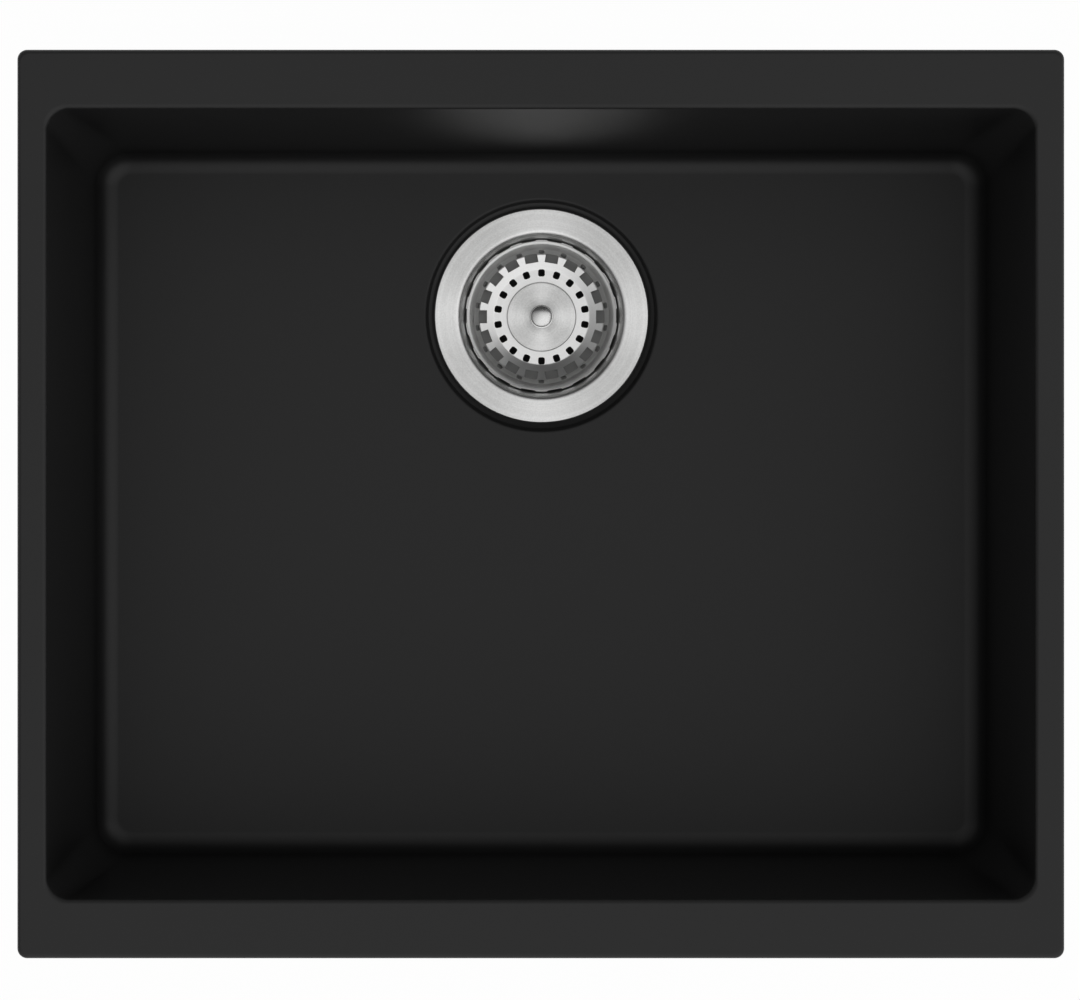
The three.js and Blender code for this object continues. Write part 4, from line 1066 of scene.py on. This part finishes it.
strip_outline = pressed_sheet(upper_side, STRIP)
clip = draw_outline("clip_strip", strip_outline, (0, -CLIP_WIDTH / 2 * MM))
bpy.ops.mesh.remove_doubles(threshold=WELD)
bpy.ops.mesh.select_all(action="SELECT")
bpy.ops.mesh.edge_face_add()
across = {"value": (0, CLIP_WIDTH * MM, 0)}
bpy.ops.mesh.extrude_region_move(TRANSFORM_OT_translate=across)
bpy.ops.mesh.select_all(action="SELECT")
bpy.ops.mesh.normals_make_consistent(inside=False)
carve(clip, stretch_block("clip_edge", -CLIP_WIDTH / 2, CLIP_REACH, CLIP_WIDTH), "INTERSECT")
carve(clip, stretch_block("clip_slot", 19, 34, 6.5))
drill(clip, SCREW_FIT, clip_foot - 5, clip_top + 5)
apply_modifier(clip, "BEVEL", width=0.25 * MM, segments=2, limit_method="ANGLE", angle_limit=0.9)
finish_shape(clip, 30)


def zinc_plate_finish():
    """Bright zinc plating: cool grey, faintly cloudy, with rolling marks along the strip."""
    finish = Finish("zinc_plate", {"Metallic": 1.0})
    place = finish.spot()
    cloud = finish.noise(place, 140, 4)
    marks = finish.noise(finish.stretched(place, (0.1, 1, 1)), 2600, 2)
    finish.feed("Base Color", finish.between(cloud, (0.46, 0.48, 0.51), (0.64, 0.65, 0.66)))
    finish.feed("Roughness", 0.26 + cloud * 0.14 + marks * 0.05)
    finish.relief(marks * 0.6 + cloud * 0.4, 0.015 * MM)
    return finish


ZINC_PLATE = zinc_plate_finish()

head_foot, shank_end = heights(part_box("screw_front_left"))
shoulder = head_foot + 3.6
SHANK, HEAD = 2.9, 5.5  # radii
KEY = 4  # across the flats of the key's socket
screw_outline = [
    (0, shank_end),
    (SHANK - 0.9, shank_end),
    (SHANK - 0.7, shank_end - 0.3),
    *thread(SHANK, shank_end - 0.5, shoulder + 2.2, pitch=1.0, depth=0.45),
    (SHANK, shoulder + 2),
    (SHANK, shoulder),
    (HEAD - 0.3, shoulder),
    (HEAD, shoulder - 0.3),
    *arc(HEAD - 2.3, shoulder - 1.3, 2.3, 0, -90, 8),
    (0, head_foot),
]
screw = turned("pan_screw", screw_outline, 48)
carve(screw, hexagon("key_tool", KEY, head_foot - 1, head_foot + 2.2, (0, 0)))
finish_shape(screw, 28)

insert_foot, insert_top = heights(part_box("insert_front_left"))
INSERT, INSERT_GROOVE = 4.3, 4.0  # radii
insert_outline = [
    (SCREW_FIT + 0.2, insert_foot),
    (INSERT - 0.2, insert_foot),
    (INSERT, insert_foot + 0.2),
    (INSERT, insert_foot + 3.8),
    (INSERT_GROOVE, insert_foot + 4.2),
    (INSERT_GROOVE, insert_foot + 5.4),
    (INSERT, insert_foot + 5.8),
    (INSERT, insert_top - 0.4),
    (INSERT - 0.3, insert_top),
    (SCREW_FIT + 0.2, insert_top),
    (SCREW_FIT, insert_top - 0.2),
    (SCREW_FIT, insert_foot + 0.2),
]
insert = finish_shape(turned("insert", insert_outline, 48))
washer_foot, washer_top = heights(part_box("washer_front_left"))
WASHER = 6.8  # radius
washer_outline = [
    (SCREW_FIT, washer_foot),
    (WASHER - 0.2, washer_foot),
    (WASHER, washer_foot + 0.2),
    (WASHER, washer_top - 0.2),
    (WASHER - 0.2, washer_top),
    (SCREW_FIT, washer_top),
]
washer = finish_shape(turned("washer", washer_outline, 48))


def copy_to(piece, name, x, y, turn):
    """Copies a piece, mesh and all, turns it about the upright axis and moves it to a place."""
    take_up(piece)
    bpy.ops.object.duplicate(linked=False)
    copy = bpy.context.object
    copy.rotation_euler.z = turn
    copy.location = (x, y, 0)
    bpy.ops.object.transform_apply(location=True, rotation=True, scale=True)
    copy.name = name
    copy.data.name = name
    return copy


for name, (x, y) in CLIP_PLACES.items():
    reach_low, reach_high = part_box(f"clip_{name}")
    turn = 0 if reach_high.x - x > x - reach_low.x else math.pi
    parts = (
        (clip, "clip", ZINC_PLATE, f"clip_{name}", "zinc_plated_steel"),
        (insert, "insert", BRASS, "sink", "brass"),
        (washer, "washer", ZINC_PLATE, "sink", "zinc_plated_steel"),
        (screw, "screw", ZINC_PLATE, "sink", "zinc_plated_steel"),
    )
    for model, kind, finish, body, slot in parts:
        copied = copy_to(model, f"{kind}_piece_{name}", x, y, turn)
        dress(copied, finish, body, slot, f"{kind}_{name}")
for model in (clip, insert, washer, screw):
    bpy.data.objects.remove(model, do_unlink=True)

# ---------------------------------------------------------------- camera, light and floor
# The view is from straight above, so far off that the walls only just show. The room is lit all
# round, with one wide soft light at the front right, over a sheet of white paper.

CAMERA_HEIGHT = 3.5
PICTURE_WIDTH, PICTURE_HEIGHT = 1080, 1000
RIM_WIDTH_IN_PICTURE = 1047.5
PICTURE_CENTRE_X, PICTURE_CENTRE_Y = 540.8, 504.0
camera_data = bpy.data.cameras.new("camera")
camera = bpy.data.objects.new("camera", camera_data)
bpy.context.scene.collection.objects.link(camera)
view_width = 2 * bowl_high.x * PICTURE_WIDTH / RIM_WIDTH_IN_PICTURE
camera_data.sensor_width = 36
camera_data.lens = camera_data.sensor_width * CAMERA_HEIGHT / view_width
CAMERA_X, CAMERA_Y = 6 * MM, 10 * MM
framing_x = (PICTURE_WIDTH / 2 - PICTURE_CENTRE_X) / PICTURE_WIDTH
framing_y = (PICTURE_CENTRE_Y - PICTURE_HEIGHT / 2) / PICTURE_WIDTH
camera_data.shift_x = framing_x - CAMERA_X / view_width
camera_data.shift_y = framing_y - CAMERA_Y / view_width
camera.location = (CAMERA_X, CAMERA_Y, CAMERA_HEIGHT)
bpy.context.scene.camera = camera

# A large sheet of white paper. Seen directly or mirrored it is nearly all its own white, and the
# rest takes the object's shadow. Its underside lets a view from below through.
floor_z = cad_box[0].z - 0.012
PAPER_GLOW = 0.975
put_down()
bpy.ops.mesh.primitive_circle_add(
    vertices=96, radius=14, fill_type="NGON", location=(0, 0, floor_z)
)
floor = bpy.context.object
floor.name = "studio_floor"
white_paper = {"Base Color": (0.8, 0.8, 0.8, 1), "Roughness": 0.9, "Specular IOR Level": 0.1}
paper = Finish("studio_paper", white_paper)


def seen_ray(nodes, glossy_share=1.0):
    """1 for rays that see a backdrop: the camera's, and those through glass or off a mirror."""
    camera_ray = nodes.node("ShaderNodeLightPath", output="Is Camera Ray")
    clear_ray = nodes.node("ShaderNodeLightPath", output="Is Transmission Ray")
    glossy_ray = nodes.node("ShaderNodeLightPath", output="Is Glossy Ray")
    return nodes.larger(nodes.larger(camera_ray, clear_ray), glossy_ray * glossy_share)


white = {"Color": (1, 1, 1, 1), "Strength": 1.0}
glow = paper.node("ShaderNodeEmission", {}, white)
lit_paper = Measure(paper, paper.shader.outputs[0])
blend = {0: seen_ray(paper) * PAPER_GLOW, 1: lit_paper, 2: glow}
upper_side = paper.node("ShaderNodeMixShader", {}, blend)
from_below = paper.node("ShaderNodeNewGeometry", output="Backfacing")
clear = paper.node("ShaderNodeBsdfTransparent")
sides = {0: from_below, 1: upper_side, 2: clear}
surface = paper.node("ShaderNodeMixShader", {}, sides)
paper.connect(surface, paper.tree.nodes["Material Output"].inputs["Surface"])
floor.data.materials.append(paper.material)

# The light of the room: dim all round, and brighter towards one wide soft light, halfway up at
# the front right. A white backdrop ends a little above the floor, and the camera sees it all round.
ROOM_LIGHT = 0.42
SOFT_LIGHT = 0.725
LIGHT_WAY = Vector((0.45, -0.57, 0.69)).normalized()
LIGHT_EDGE, LIGHT_CORE = math.cos(math.radians(80)), math.cos(math.radians(35))
BACKDROP_TOP = 0.10  # sine of the backdrop's height above the horizon
world = bpy.data.worlds.new("studio")
bpy.context.scene.world = world
world.use_nodes = True
world.node_tree.nodes.clear()
air = Nodes(world.node_tree)
heading = air.node("ShaderNodeTexCoord", output="Generated")
height = air.node("ShaderNodeSeparateXYZ", {}, {0: heading}, "Z")
low_down = air.step(height, BACKDROP_TOP, 0.0)
dot = {"operation": "DOT_PRODUCT"}
facing = air.node("ShaderNodeVectorMath", dot, {0: heading, 1: LIGHT_WAY}, "Value")
level = ROOM_LIGHT + SOFT_LIGHT * air.step(facing, LIGHT_EDGE, LIGHT_CORE)
room = air.node("ShaderNodeBackground", {}, {**white, "Strength": level})
backdrop = air.node("ShaderNodeBackground", {}, white)
view = air.node("ShaderNodeMixShader", {}, {0: seen_ray(air, low_down), 1: room, 2: backdrop})
world_end = air.tree.nodes.new("ShaderNodeOutputWorld")
air.connect(view, world_end.inputs["Surface"])

bpy.context.scene.view_settings.view_transform = "Standard"
